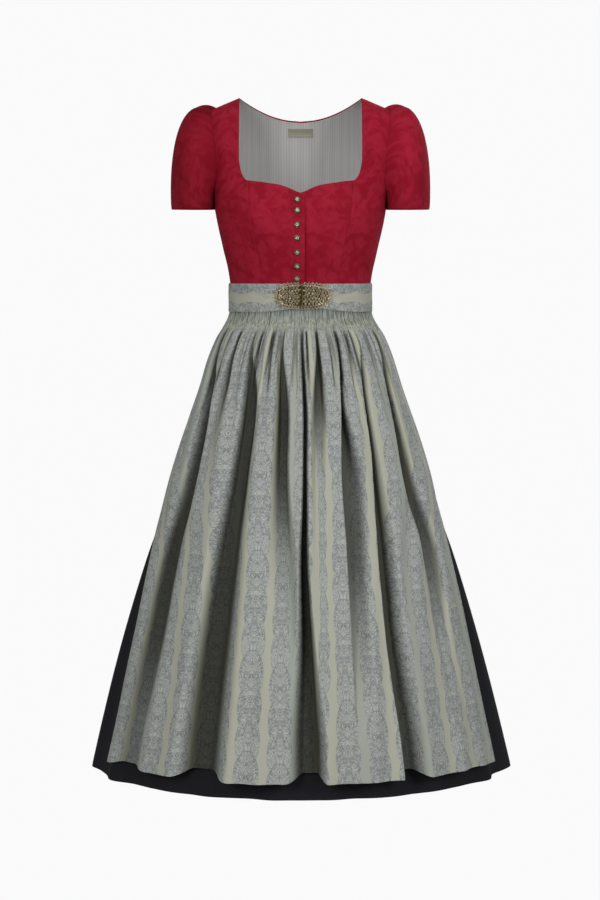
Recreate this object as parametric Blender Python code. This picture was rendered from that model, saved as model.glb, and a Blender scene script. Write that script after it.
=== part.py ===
# Dirndl: a buttoned bodice with raised sleeves, a gathered skirt, and an apron on a clasped band.
# Metres, +Z up. The front faces -Y and +X is the wearer's left, so "right" pieces lie at -X.
# The origin is midway between the tops of the shoulder straps, where shoulders hold the dress.
# Tables are in millimetres and degrees. "drop" is the distance below the origin.

import math
from collections import namedtuple

import bpy
import numpy as np

MM = 0.001
HALF_TURN = math.pi
QUARTER_TURN = math.pi / 2

CLOTH = 1.6
LINING = 1.1
APRON_CLOTH = 1.3
BAND_CLOTH = 2.0
LABEL_CLOTH = 0.6
SEAM_GAP = 0.3

# The torso narrows from the shoulder line to the waist seam.
Section = namedtuple("Section", "drop half_width front back roundness")
TORSO = [
    Section(0.0, 190.0, 88.0, 84.0, 2.30),
    Section(50.0, 182.0, 90.0, 90.0, 2.30),
    Section(95.0, 173.0, 93.0, 95.0, 2.30),
    Section(140.0, 163.0, 99.0, 98.0, 2.30),
    Section(172.0, 156.5, 106.0, 99.0, 2.30),
    Section(206.0, 152.0, 112.0, 99.0, 2.30),
    Section(232.0, 147.0, 114.0, 96.0, 2.30),
    Section(271.0, 138.0, 108.0, 91.0, 2.25),
    Section(314.0, 128.5, 95.0, 86.0, 2.20),
    Section(335.0, 125.8, 88.5, 83.0, 2.15),
    Section(359.0, 124.5, 85.0, 82.0, 2.10),
]
SKIRT = [
    Section(359.4, 124.5, 85.0, 82.0, 2.10),
    Section(389.0, 126.0, 86.0, 86.0, 2.10),
    Section(402.0, 129.3, 89.0, 92.0, 2.10),
    Section(417.0, 135.3, 95.0, 101.0, 2.10),
    Section(451.0, 148.5, 108.0, 118.0, 2.05),
    Section(523.0, 171.0, 131.0, 146.0, 2.00),
    Section(595.0, 197.0, 152.0, 169.0, 1.97),
    Section(667.0, 221.5, 171.0, 190.0, 1.94),
    Section(740.0, 244.0, 189.0, 207.0, 1.91),
    Section(812.0, 270.0, 207.0, 224.0, 1.88),
    Section(886.0, 293.0, 224.0, 241.0, 1.86),
    Section(1032.0, 333.0, 253.0, 268.0, 1.82),
    Section(1105.0, 350.5, 266.0, 281.0, 1.80),
    Section(1213.0, 375.0, 284.0, 296.0, 1.80),
]
WAIST = TORSO[-3:] + SKIRT[1:3]
WAIST_DROP = TORSO[-1].drop
SKIRT_TOP = SKIRT[0].drop
HEM_DROP_SIDE = 1208.0
HEM_DROP_FRONT = 1213.0

# The shoulder line slopes outwards, and the torso rounds over it within this height.
SHOULDER_ROUNDING = 100.0
SHOULDER_SLOPE = 0.431
SHOULDER_SOFTNESS = 30.0
SHOULDER_FADE_FROM = 40.0
SHOULDER_FADE_OVER = 150.0
STRAP_ACROSS = 109.0

# Cups of the cut, where the princess seams pass.
CUP_FULLNESS = 8.0
CUP_ACROSS = 78.0
CUP_DROP = 205.0
CUP_SPREAD = 46.0

# The armhole is an oval seen from the side.
ARM_DROP = 186.0
ARM_FRONT = 52.0
ARM_BACK = 55.0
ARM_STEPS = 9

# Neckline: straight strap edge, rounded corner, then the sweetheart edge to its notch.
STRAP_CORNER_DROP = 104.0
STRAP_CORNER_ACROSS = 17.0
NECK_CORNER_DROP = 148.7
NeckEdge = namedtuple("NeckEdge", "across drop")
NECK_FRONT = [
    NeckEdge(0.0, 171.0),
    NeckEdge(8.0, 168.0),
    NeckEdge(27.0, 159.5),
    NeckEdge(62.0, 152.7),
    NeckEdge(92.0, 148.7),
]
NECK_BACK = [
    NeckEdge(0.0, 37.5),
    NeckEdge(29.0, 34.5),
    NeckEdge(52.0, 28.5),
    NeckEdge(76.0, 18.5),
    NeckEdge(109.0, 0.0),
]
BACK_NECK_COLUMNS = 5
BACK_SHOULDER_COLUMNS = 3
SeamEdge = namedtuple("SeamEdge", "drop across")
PRINCESS_SEAM = [
    SeamEdge(148.7, 92.0),
    SeamEdge(191.0, 89.8),
    SeamEdge(227.0, 84.5),
    SeamEdge(259.0, 77.5),
    SeamEdge(290.0, 72.8),
    SeamEdge(319.0, 69.0),
    SeamEdge(359.0, 65.5),
]
LOWER_ROWS = [205.0, 228.0, 251.0, 278.0, 306.0, 335.0, WAIST_DROP]
UNDERARM_SEAM_DROP = 174.0

# The wearer's right front laps over the left one along the centre.
LAP_EDGE = 7.5
LAP_UNDER = -9.0
LAP_STEP_START = -22.0
LAP_STEP_END = -12.0
LAP_LIFT = CLOTH + 0.9
CENTRE_COLUMNS = 7
SIDE_COLUMNS = 5

# Sleeve: from the armhole over a raised head to a level oval hem.
SLEEVE_HEM_DROP = 198.0
SLEEVE_HEM_ACROSS = 193.5
SLEEVE_HEM_HALF_WIDTH = 37.0
SLEEVE_HEM_DEPTH = 64.0
SLEEVE_HEAD_OUT = 43.0
SLEEVE_HEAD_UP = 40.0
SLEEVE_START_OUT = 2.0
SLEEVE_START_SINK = 4.0
SLEEVE_FULLNESS = 12.0
SLEEVE_HEM_FULLNESS = 7.2
SLEEVE_HEM_FLARE = 6.0
SLEEVE_HEM_BACK = 2.0
SLEEVE_UPRIGHT_LOW = 0.3
SLEEVE_UPRIGHT_HIGH = 0.48
SLEEVE_ROWS = 7

# Level band round the waist.
BAND_HEIGHT = 50.8
BAND_TOP = 330.4
BAND_LIFT_TOP = 0.8
BAND_LIFT_BOTTOM = 3.0
BAND_LAP_LIFT = 2.6
BAND_LAP_ANGLE = 15.0
BAND_END_ACROSS = 4.0
BAND_COLUMNS = 72
BAND_ROWS = 2

# Apron: how far round it reaches, and how far it billows from the skirt.
ApronRow = namedtuple("ApronRow", "drop edge clear billow gather")
APRON = [
    ApronRow(375.0, 101.0, 0.9, 0.0, 0.0),
    ApronRow(384.0, 101.0, 0.9, 0.0, 0.0),
    ApronRow(402.0, 100.8, 1.4, 1.0, 0.8),
    ApronRow(417.0, 100.5, 1.7, 2.5, 1.9),
    ApronRow(451.0, 100.0, 1.7, 5.0, 2.8),
    ApronRow(523.0, 98.0, 1.7, 12.0, 1.6),
    ApronRow(631.0, 94.5, 1.7, 18.0, 0.5),
    ApronRow(697.0, 92.0, 1.7, 21.5, 0.1),
    ApronRow(749.0, 87.0, 1.7, 24.0, 0.0),
    ApronRow(812.0, 80.5, 1.7, 27.0, 0.0),
    ApronRow(882.0, 77.4, 1.7, 30.5, 0.0),
    ApronRow(1032.0, 73.8, 1.7, 37.0, 0.0),
    ApronRow(1180.0, 72.1, 1.7, 42.0, 0.0),
]
APRON_DOWN = [0, 5, 11, 19, 31, 50, 80, 124, 182, 256, 345, 445, 555, 665, 740, 792]
APRON_TUCK = 5.0
APRON_COLUMNS = 68
APRON_HEM_DROP = 1177.0
APRON_HEM_RISE = 13.0
EDGE_TAPER = 0.88

# Troughs between the apron's folds. Places and widths are shares of the half apron.
Trough = namedtuple("Trough", "top hem width_top width_hem deep_top deep_middle deep_hem")
TROUGHS = [
    Trough(-0.90, -0.93, 0.04, 0.050, 0.0, 0.30, 0.45),
    Trough(-0.72, -0.79, 0.05, 0.060, 0.0, 0.60, 0.70),
    Trough(-0.43, -0.445, 0.035, 0.062, 0.75, 0.95, 0.95),
    Trough(-0.17, -0.20, 0.035, 0.045, 0.55, 0.35, 0.0),
    Trough(0.02, 0.06, 0.022, 0.055, 0.60, 0.75, 0.95),
    Trough(0.18, 0.20, 0.030, 0.045, 0.50, 0.30, 0.0),
    Trough(0.36, 0.27, 0.035, 0.055, 0.60, 0.80, 0.20),
    Trough(0.50, 0.485, 0.025, 0.050, 0.50, 0.80, 0.95),
    Trough(0.70, 0.68, 0.040, 0.050, 0.0, 0.55, 0.45),
    Trough(0.90, 0.92, 0.040, 0.050, 0.0, 0.25, 0.45),
]
TROUGH_TOP_DROP = 397.0
TROUGH_MIDDLE_DROP = 757.0

# Folds of the skirt itself, flatter under the apron and fuller behind.
SKIRT_FOLD_FRONT = 4.0
SKIRT_FOLD_SIDE = 6.0
SKIRT_FOLD_BACK = 5.0
SKIRT_SIDE_FROM = math.radians(55)
SKIRT_BACK_FROM = math.radians(85)
SKIRT_FOLD_BLEND = math.radians(20)
SKIRT_FOLD_GROWTH = 0.8
SKIRT_FOLD_WAVES = 18
SKIRT_FOLD_DRIFT = 11
SKIRT_WAVE_SHARE = 0.62
SKIRT_WAVE_TURN = math.pi
SKIRT_DRIFT_TURN = 0.6
SKIRT_GATHER = 2.4
SKIRT_GATHER_FROM = math.radians(88)
SKIRT_GATHER_BLEND = math.radians(8)
GATHER_START = 381.0
GATHER_RISE = 40.0
GATHER_FADE = 447.0
GATHER_FALL = 230.0
SKIRT_BACK_COLUMNS = 52
SKIRT_FRONT_COLUMNS = 30
SKIRT_DOWN = [359.4, 381, 402, 417, 447, 487, 547, 647, 777, 917, 1067, 1213]

# Buttons down the lap, and the clasp's two halves on the band.
BUTTON_DROPS = [183.0, 202.0, 226.7, 249.7, 275.4, 299.4, 321.5]
BUTTON_ACROSS = -6.0
BUTTON_SIDES = 10
BUTTON_LIFT = 0.6
BUTTON_PROFILE = [(4.0, 0.0), (5.9, 1.2), (5.3, 2.9), (3.1, 4.2)]
BUTTON_TOP = 4.7
CLASP_HEIGHT = 47.0
CLASP_RIGHT_WIDTH = 47.5
CLASP_LEFT_WIDTH = 53.0
CLASP_SPLIT = 1.8
CLASP_HALF_GAP = 0.9
CLASP_RAISE = 4.0
CLASP_LOBES = 14
CLASP_DIP = 0.93
CLASP_NARROWING = 0.2
CLASP_FULLNESS = 0.72
CLASP_END_ROUNDNESS = 2.1
CLASP_SPLIT_ROUNDNESS = 5.5
CLASP_STRAIGHT_FROM = -0.6
CLASP_LIFT = 0.95
CLASP_BACK_RING = 0.5
CLASP_RINGS = [(1.0, 1.2), (0.88, 2.6), (0.76, 1.7), (0.45, 3.4)]
CLASP_TOP = 4.2

# The lining ends a little below the neckline, as a share of the first row.
LINING_SET_BACK = 0.1
LINING_GAP = 0.6

# Label inside the back neck.
LABEL_WIDTH = 46.0
LABEL_HEIGHT = 15.3
LABEL_DROP = 57.2
LABEL_GAP = 1.6


def read(rows, column, at):
    """A table's column at a place between its rows, on a smooth curve through them."""
    keys = np.array([row[0] for row in rows], float)
    values = np.array([getattr(row, column) for row in rows], float)
    slopes = np.gradient(values, keys)
    at = np.clip(at, keys[0], keys[-1])
    low = np.clip(np.searchsorted(keys, at, side="right") - 1, 0, len(keys) - 2)
    span = keys[low + 1] - keys[low]
    part = (at - keys[low]) / span
    start = values[low] * (1 + 2 * part) + slopes[low] * span * part
    end = values[low + 1] * (3 - 2 * part) - slopes[low + 1] * span * (1 - part)
    return start * (1 - part) ** 2 + end * part**2


def soft_step(part):
    """0 to 1 with level ends."""
    part = np.clip(part, 0.0, 1.0)
    return part * part * (3 - 2 * part)


def ring(table, drop, angle):
    """A rounded outline at one drop: how far across and how far back its point lies."""
    half_width = read(table, "half_width", drop)
    front = read(table, "front", drop)
    back = read(table, "back", drop)
    roundness = read(table, "roundness", drop)
    depth = np.where(np.cos(angle) > 0, front, back)
    along = np.abs(np.cos(angle) / depth) ** roundness
    across = np.abs(np.sin(angle) / half_width) ** roundness
    reach = (along + across) ** (-1 / roundness)
    return reach * np.sin(angle), -reach * np.cos(angle)


def level_of(turn):
    """Distance below the shoulder line at a turn over the shoulder."""
    over = SHOULDER_ROUNDING * (1 - np.cos(turn))
    below = SHOULDER_ROUNDING * (1 + np.abs(turn) - QUARTER_TURN)
    return np.where(np.abs(turn) < QUARTER_TURN, over, below)


def turn_of(level):
    """The turn that lies this far below the shoulder line."""
    over = np.arccos(1 - np.minimum(level, SHOULDER_ROUNDING) / SHOULDER_ROUNDING)
    below = QUARTER_TURN + level / SHOULDER_ROUNDING - 1
    return np.where(level < SHOULDER_ROUNDING, over, below)


def shoulder_rise(across, level):
    """How much the shoulder's slope lifts a point, fading out towards the underarm."""
    here = np.sqrt(across**2 + SHOULDER_SOFTNESS**2)
    strap = math.hypot(STRAP_ACROSS, SHOULDER_SOFTNESS)
    fade = 1 - soft_step((level - SHOULDER_FADE_FROM) / SHOULDER_FADE_OVER)
    return SHOULDER_SLOPE * (strap - here) * fade


def torso(angle, turn):
    """A point on the bodice, from the angle round it and the turn down from the shoulder."""
    level = level_of(turn)
    across, depth = ring(TORSO, level, angle)
    depth = depth * np.sin(np.clip(turn, -QUARTER_TURN, QUARTER_TURN))
    drop = level - shoulder_rise(across, level)
    beside = (np.abs(across) - CUP_ACROSS) / CUP_SPREAD
    below = (drop - CUP_DROP) / CUP_SPREAD
    cup = CUP_FULLNESS * np.exp(-(beside**2) - below**2) * (np.cos(angle) > 0)
    return np.stack([across, depth - cup, -drop], axis=-1)


def bisect(low, high, too_low):
    """The place between two bounds where a rising test stops being true."""
    for _ in range(40):
        middle = (low + high) / 2
        if too_low(middle):
            low = middle
        else:
            high = middle
    return (low + high) / 2


def angle_across(table, drop, across):
    """The angle from the front centre, at most a quarter turn, of a point this far across."""
    found = bisect(0.0, QUARTER_TURN, lambda angle: ring(table, drop, angle)[0] < abs(across))
    return math.copysign(found, across)


def level_at(across, drop):
    """The level of a torso point known by how far across and how far down it is."""
    level = drop
    for _ in range(12):
        level = max(0.0, drop + float(shoulder_rise(abs(across), level)))
    return level


def front_place(across, drop):
    """Angle and turn of a front torso point."""
    level = level_at(across, drop)
    return angle_across(TORSO, level, across), float(turn_of(level))


def back_place(across, drop):
    """Angle and turn of a back torso point, the angle counted on past a quarter turn."""
    level = level_at(across, drop)
    low, high = QUARTER_TURN, HALF_TURN
    found = bisect(low, high, lambda angle: ring(TORSO, level, angle)[0] > abs(across))
    return (found if across > 0 else 2 * HALF_TURN - found), float(turn_of(level))


def armhole(step, back=False):
    """Angle and turn of the left armhole's edge, by steps from the shoulder to the underarm."""
    round_it = HALF_TURN * step / ARM_STEPS
    level = ARM_DROP / 2 * (1 - math.cos(round_it))
    turn = float(turn_of(level))
    depth = ARM_BACK if back else ARM_FRONT
    if step == 0:
        reach = depth / math.sqrt(ARM_DROP / 2 / SHOULDER_ROUNDING)
    else:
        reach = depth * math.sin(round_it) / math.sin(min(turn, QUARTER_TURN))
    if step == ARM_STEPS:
        return QUARTER_TURN, turn
    if back:
        angle = bisect(QUARTER_TURN, HALF_TURN, lambda angle: ring(TORSO, level, angle)[1] < reach)
    else:
        angle = bisect(0.0, QUARTER_TURN, lambda angle: -ring(TORSO, level, angle)[1] > reach)
    return angle, turn


def strap_edge(step):
    """Angle and turn of the strap's inner edge and neckline corner, paired with the armhole."""
    straight_steps = ARM_STEPS // 2 + 1
    if step < straight_steps:
        drop = STRAP_CORNER_DROP * (1 - math.cos(HALF_TURN * step / (2 * straight_steps)))
        return front_place(STRAP_ACROSS, drop)
    round_it = QUARTER_TURN * (step - straight_steps) / (ARM_STEPS - 1 - straight_steps)
    across = STRAP_ACROSS - STRAP_CORNER_ACROSS * (1 - math.cos(round_it))
    rise = (NECK_CORNER_DROP - STRAP_CORNER_DROP) * math.sin(round_it)
    return front_place(across, STRAP_CORNER_DROP + rise)


def princess(drop):
    """Angle and turn of the princess seam."""
    return front_place(float(read(PRINCESS_SEAM, "across", drop)), drop)


def seam_drops():
    """Where both panels beside a princess seam have their points."""
    return [NECK_CORNER_DROP, UNDERARM_SEAM_DROP] + LOWER_ROWS


def normals_of(surface, first, second):
    """Outward unit normals: the second parameter runs down and the first one round."""
    step = 1e-4
    round_it = surface(first + step, second) - surface(first - step, second)
    down = surface(first, second + step) - surface(first, second - step)
    normal = np.cross(down, round_it)
    return normal / np.linalg.norm(normal, axis=-1, keepdims=True)


def shell_faces(rows, columns, closed):
    """Quads of a wall whose outer points come first and inner points follow."""
    inner = rows * columns
    spans = columns if closed else columns - 1
    faces = []
    for row in range(rows - 1):
        for column in range(spans):
            a = row * columns + column
            b = row * columns + (column + 1) % columns
            c, d = b + columns, a + columns
            faces.append((a, d, c, b))
            faces.append((a + inner, b + inner, c + inner, d + inner))
    last = (rows - 1) * columns
    for column in range(spans):
        a, b = column, (column + 1) % columns
        faces.append((a, b, b + inner, a + inner))
        faces.append((last + a, last + a + inner, last + b + inner, last + b))
    if not closed:
        for row in range(rows - 1):
            a, d = row * columns, (row + 1) * columns
            faces.append((a, a + inner, d + inner, d))
            b, c = a + columns - 1, d + columns - 1
            faces.append((b, c, c + inner, b + inner))
    return faces


def volume_of(points, faces):
    """Signed volume of a closed mesh, to tell whether its faces point out."""
    total = 0.0
    for face in faces:
        first = points[face[0]]
        for here, after in zip(face[1:-1], face[2:]):
            total += np.dot(first, np.cross(points[here], points[after]))
    return total


def add_solid(name, points, faces, material, crease=50.0):
    """A smooth-shaded object from points in millimetres."""
    if volume_of(points, faces) < 0:
        faces = [tuple(reversed(face)) for face in faces]
    mesh = bpy.data.meshes.new(name)
    mesh.from_pydata((points * MM).tolist(), [], faces)
    mesh.materials.append(material)
    mesh.shade_smooth()
    mesh.set_sharp_from_angle(angle=math.radians(crease))
    solid = bpy.data.objects.new(name, mesh)
    bpy.context.collection.objects.link(solid)
    return solid


def add_wall(name, outer, normals, thickness, material, closed=False):
    """A cloth wall from its outer points, one thickness deep."""
    rows, columns = outer.shape[:2]
    inner = outer - normals * thickness
    points = np.concatenate([outer.reshape(-1, 3), inner.reshape(-1, 3)])
    return add_solid(name, points, shell_faces(rows, columns, closed), material)


def part_at_seams(surface, places, left=True, right=True):
    """Angles with their first and last columns drawn in by half a seam gap."""
    angles, turns = places[..., 0].copy(), places[..., 1]
    step = 1e-3
    stretch = np.linalg.norm(surface(angles + step, turns) - surface(angles - step, turns), axis=-1)
    half_gap = SEAM_GAP / 2 * (2 * step) / stretch
    if left:
        angles[:, 0] += half_gap[:, 0]
    if right:
        angles[:, -1] -= half_gap[:, -1]
    return angles, turns


def make_material(name, colour, roughness, metallic=0.0):
    """A plain finish from a colour in linear values."""
    material = bpy.data.materials.new(name)
    material.use_nodes = True
    shader = material.node_tree.nodes["Principled BSDF"]
    shader.inputs["Base Color"].default_value = (*colour, 1.0)
    shader.inputs["Roughness"].default_value = roughness
    shader.inputs["Metallic"].default_value = metallic
    return material


def mirrored(places):
    """The same places on the other side, columns turned round so that angles still rise."""
    turned = places[:, ::-1].copy()
    turned[..., 0] *= -1
    return turned


def side_front_places():
    """Rows from the shoulder seam to the waist, columns from the strap edge to the armhole."""
    inner = [strap_edge(step) for step in range(ARM_STEPS)]
    inner += [princess(drop) for drop in seam_drops()[1:]]
    outer = [armhole(step) for step in range(ARM_STEPS + 1)]
    outer += [(QUARTER_TURN, float(turn_of(drop))) for drop in LOWER_ROWS]
    share = np.linspace(0, 1, SIDE_COLUMNS + 1)[None, :, None]
    inner, outer = np.array(inner)[:, None, :], np.array(outer)[:, None, :]
    return inner * (1 - share) + outer * share


def add_side_front(name, side, material):
    places = side_front_places()
    if side < 0:
        places = mirrored(places)
    angles, turns = part_at_seams(torso, places)
    normals = normals_of(torso, angles, turns)
    turns = turns + np.where(np.arange(len(turns)) == 0, SEAM_GAP / 2 / SHOULDER_ROUNDING, 0)[:, None]
    add_wall(name, torso(angles, turns), normals, CLOTH, material)


def centre_front_places(from_across):
    """Rows from the neckline to the waist, columns from an edge near the centre to the seam."""
    shares = [(drop - NECK_CORNER_DROP) / (WAIST_DROP - NECK_CORNER_DROP) for drop in seam_drops()]
    rows = []
    for drop, share in zip(seam_drops(), shares):
        seam = float(read(PRINCESS_SEAM, "across", drop))
        row = []
        for part in np.linspace(0, 1, CENTRE_COLUMNS + 1):
            across = from_across * (1 - part) + seam * part
            neck = float(read(NECK_FRONT, "drop", abs(across)))
            if part == 1:
                row.append(princess(drop))
            else:
                row.append(front_place(across, neck + (WAIST_DROP - neck) * share))
        rows.append(row)
    return np.array(rows)


def lapped(angle, turn):
    """The torso, lifted along the centre so that one front lies over the other."""
    points = torso(angle, turn)
    lift = LAP_LIFT * soft_step((points[..., 0] - LAP_STEP_START) / (LAP_STEP_END - LAP_STEP_START))
    points[..., 1] -= lift
    return points


def add_centre_fronts(material):
    places = centre_front_places(LAP_UNDER)
    angles, turns = part_at_seams(torso, places, left=False)
    normals = normals_of(torso, angles, turns)
    add_wall("front_centre_left", torso(angles, turns), normals, CLOTH, material)
    places = mirrored(centre_front_places(-LAP_EDGE))
    angles, turns = part_at_seams(torso, places, right=False)
    normals = normals_of(torso, angles, turns)
    add_wall("front_centre_right", lapped(angles, turns), normals, CLOTH, material)


def back_places():
    """A four-sided patch from side seam to side seam, up to both shoulders and the neckline."""
    side = [armhole(step, back=True) for step in range(ARM_STEPS + 1)]
    side += [(QUARTER_TURN, float(turn_of(drop))) for drop in LOWER_ROWS]
    start = np.array(side)
    end = start.copy()
    end[:, 0] = 2 * HALF_TURN - end[:, 0]
    strap = back_place(STRAP_ACROSS, 0.0)
    shares = np.arange(BACK_SHOULDER_COLUMNS) / BACK_SHOULDER_COLUMNS
    shoulder = [tuple(start[0] * (1 - part) + np.array(strap) * part) for part in shares]
    across = np.linspace(STRAP_ACROSS, 0.0, BACK_NECK_COLUMNS + 1)
    neck = [back_place(place, float(read(NECK_BACK, "drop", place))) for place in across]
    half = shoulder + neck
    other = [(2 * HALF_TURN - angle, turn) for angle, turn in reversed(half[:-1])]
    top = np.array(half + other)
    columns = len(top)
    bottom = np.stack([np.linspace(start[-1, 0], end[-1, 0], columns), np.full(columns, start[-1, 1])], axis=-1)
    u = np.linspace(0, 1, columns)[None, :, None]
    v = ((start[:, 1] - start[0, 1]) / (start[-1, 1] - start[0, 1]))[:, None, None]
    corners = (1 - u) * ((1 - v) * top[0] + v * bottom[0]) + u * ((1 - v) * top[-1] + v * bottom[-1])
    return (1 - v) * top[None] + v * bottom[None] + (1 - u) * start[:, None] + u * end[:, None] - corners


def add_back(cloth, lining_cloth):
    angles, turns = part_at_seams(torso, back_places())
    normals = normals_of(torso, angles, turns)
    top = np.where(np.arange(len(turns)) == 0, 1.0, 0.0)[:, None]
    outer = torso(angles, turns + top * SEAM_GAP / 2 / SHOULDER_ROUNDING)
    add_wall("bodice_back", outer, normals, CLOTH, cloth)
    inside = outer - normals * (CLOTH + LINING_GAP)
    inside[0] += (inside[1] - inside[0]) * LINING_SET_BACK
    normals[0] += (normals[1] - normals[0]) * LINING_SET_BACK
    add_wall("back_lining", inside, normals, LINING, lining_cloth)


def add_label(material):
    rows = []
    for down in (-0.5, 0.0, 0.5):
        row = []
        for part in (0.5, 0.25, 0.0, -0.25, -0.5):
            row.append(back_place(LABEL_WIDTH * part + 1e-6, LABEL_DROP + LABEL_HEIGHT * down))
        rows.append(row)
    places = np.array(rows)
    angles, turns = places[..., 0], places[..., 1]
    normals = normals_of(torso, angles, turns)
    outer = torso(angles, turns) - normals * (CLOTH + LINING_GAP + LINING + LABEL_GAP)
    add_wall("neck_label", outer, normals, LABEL_CLOTH, material)


def sleeve_ring():
    """Angles, turns and the way round the arm for the left armhole, front edge first."""
    places = []
    for step in range(ARM_STEPS + 1):
        places.append((*armhole(step), HALF_TURN * step / ARM_STEPS))
    for step in range(ARM_STEPS - 1, 0, -1):
        places.append((*armhole(step, back=True), -HALF_TURN * step / ARM_STEPS))
    return np.array(places)


def add_sleeve(name, side, material):
    places = sleeve_ring()
    angles, turns, round_arm = places.T
    start = torso(angles, turns) + normals_of(torso, angles, turns) * SEAM_GAP
    start[:, 0] += SEAM_GAP
    high = (1 + np.cos(round_arm)) / 2
    out = SLEEVE_HEM_ACROSS + SLEEVE_HEM_HALF_WIDTH * np.cos(round_arm)
    depth = -SLEEVE_HEM_DEPTH * np.sin(round_arm)
    hem = np.stack([out, depth + SLEEVE_HEM_BACK, np.full_like(out, -SLEEVE_HEM_DROP)], axis=-1)
    leave_out = SLEEVE_START_OUT + SLEEVE_HEAD_OUT * high
    leave_up = SLEEVE_HEAD_UP * high - SLEEVE_START_SINK
    first = start + np.stack([leave_out, -SLEEVE_FULLNESS * np.sin(round_arm), leave_up], axis=-1)
    upright = (start[:, 2] - hem[:, 2]) * (SLEEVE_UPRIGHT_LOW + SLEEVE_UPRIGHT_HIGH * high)
    flare = SLEEVE_HEM_FLARE * high
    second = hem + np.stack([flare, -SLEEVE_HEM_FULLNESS * np.sin(round_arm), upright], axis=-1)
    rows = []
    for part in np.linspace(0, 1, SLEEVE_ROWS + 1):
        rest = 1 - part
        curve = start * rest**3 + first * 3 * rest**2 * part
        rows.append(curve + second * 3 * rest * part**2 + hem * part**3)
    outer = np.array(rows)
    down = np.gradient(outer, axis=0)
    round_it = np.roll(outer, -1, axis=1) - np.roll(outer, 1, axis=1)
    normals = np.cross(round_it, down)
    normals /= np.linalg.norm(normals, axis=-1, keepdims=True)
    outer[..., 0] *= side
    normals[..., 0] *= side
    add_wall(name, outer, normals, CLOTH, material, closed=True)


def fold_reach(angle, drop):
    """How far the skirt's folds stand from their middle."""
    off_front = np.abs(np.arctan2(np.sin(angle), np.cos(angle)))
    reach = SKIRT_FOLD_FRONT + SKIRT_FOLD_SIDE * soft_step((off_front - SKIRT_SIDE_FROM) / SKIRT_FOLD_BLEND)
    reach = reach + SKIRT_FOLD_BACK * soft_step((off_front - SKIRT_BACK_FROM) / SKIRT_FOLD_BLEND)
    growth = np.clip((drop - GATHER_START) / (HEM_DROP_FRONT - GATHER_START), 0, 1) ** SKIRT_FOLD_GROWTH
    return reach * growth


def gather_reach(angle, drop):
    """How far the skirt's gathers stand below the band, at the back only."""
    off_front = np.abs(np.arctan2(np.sin(angle), np.cos(angle)))
    behind = soft_step((off_front - SKIRT_GATHER_FROM) / SKIRT_GATHER_BLEND)
    rising = soft_step((drop - GATHER_START) / GATHER_RISE)
    fading = 1 - soft_step((drop - GATHER_FADE) / GATHER_FALL)
    return SKIRT_GATHER * behind * rising * fading


def pushed_out(table, angle, drop, out):
    """A ring's point moved level outwards."""
    step = 1e-4
    across, depth = ring(table, drop, angle)
    before, after = ring(table, drop, angle - step), ring(table, drop, angle + step)
    along, back = after[0] - before[0], after[1] - before[1]
    length = np.hypot(along, back)
    return np.stack([across + back / length * out, depth - along / length * out, -drop], axis=-1)


def skirt(angle, drop):
    """A point on the skirt, folds and gathers included."""
    wave = SKIRT_WAVE_SHARE * np.cos(SKIRT_FOLD_WAVES * angle + SKIRT_WAVE_TURN)
    wave = wave + (1 - SKIRT_WAVE_SHARE) * np.cos(SKIRT_FOLD_DRIFT * angle + SKIRT_DRIFT_TURN)
    gather = np.cos(SKIRT_BACK_COLUMNS * (angle - QUARTER_TURN))
    out = fold_reach(angle, drop) * wave + gather_reach(angle, drop) * gather
    return pushed_out(SKIRT, angle, drop, out)


def add_skirt(name, start, end, columns, material):
    angle, row = np.meshgrid(np.linspace(start, end, columns + 1), np.arange(len(SKIRT_DOWN)))
    low = HEM_DROP_SIDE + (HEM_DROP_FRONT - HEM_DROP_SIDE) * np.clip(np.cos(angle), 0, 1) ** 2
    share = (np.array(SKIRT_DOWN)[row] - SKIRT_TOP) / (HEM_DROP_FRONT - SKIRT_TOP)
    drop = SKIRT_TOP + (low - SKIRT_TOP) * share
    angles, drops = part_at_seams(skirt, np.stack([angle, drop], axis=-1))
    normals = normals_of(skirt, angles, drops)
    add_wall(name, skirt(angles, drops), normals, CLOTH, material)


def band_surface(angle, share, lift=BAND_CLOTH):
    """A point of the band, by its share of the way down."""
    drop = BAND_TOP + BAND_HEIGHT * share
    off_front = np.degrees(np.abs(np.arctan2(np.sin(angle), np.cos(angle))))
    over_lap = BAND_LAP_LIFT * (1 - soft_step((off_front - BAND_LAP_ANGLE) / BAND_LAP_ANGLE))
    out = BAND_LIFT_TOP + (BAND_LIFT_BOTTOM - BAND_LIFT_TOP) * share + over_lap + lift
    return pushed_out(WAIST, angle, drop, out)


def add_band(material):
    end = angle_across(WAIST, BAND_TOP + BAND_HEIGHT / 2, BAND_END_ACROSS)
    angles, share = np.meshgrid(
        np.linspace(end, 2 * HALF_TURN - end, BAND_COLUMNS + 1), np.linspace(0, 1, BAND_ROWS + 1)
    )
    normals = normals_of(band_surface, angles, share)
    add_wall("apron_band", band_surface(angles, share), normals, BAND_CLOTH, material)


def trough_depth(across, drop):
    """How deep the apron's troughs are at a place, from 0 on a fold's top to nearly 1."""
    total = np.zeros_like(across)
    down = (drop - TROUGH_TOP_DROP) / (APRON_HEM_DROP - TROUGH_TOP_DROP)
    upper = soft_step((drop - TROUGH_TOP_DROP) / (TROUGH_MIDDLE_DROP - TROUGH_TOP_DROP))
    lower = soft_step((drop - TROUGH_MIDDLE_DROP) / (APRON_HEM_DROP - TROUGH_MIDDLE_DROP))
    for trough in TROUGHS:
        place = trough.top + (trough.hem - trough.top) * down
        width = trough.width_top + (trough.width_hem - trough.width_top) * down
        deep = trough.deep_top + (trough.deep_middle - trough.deep_top) * upper
        deep = deep + (trough.deep_hem - trough.deep_middle) * lower
        total = total + deep * np.exp(-(((across - place) / width) ** 2))
    return np.minimum(total, 1.0)


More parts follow.
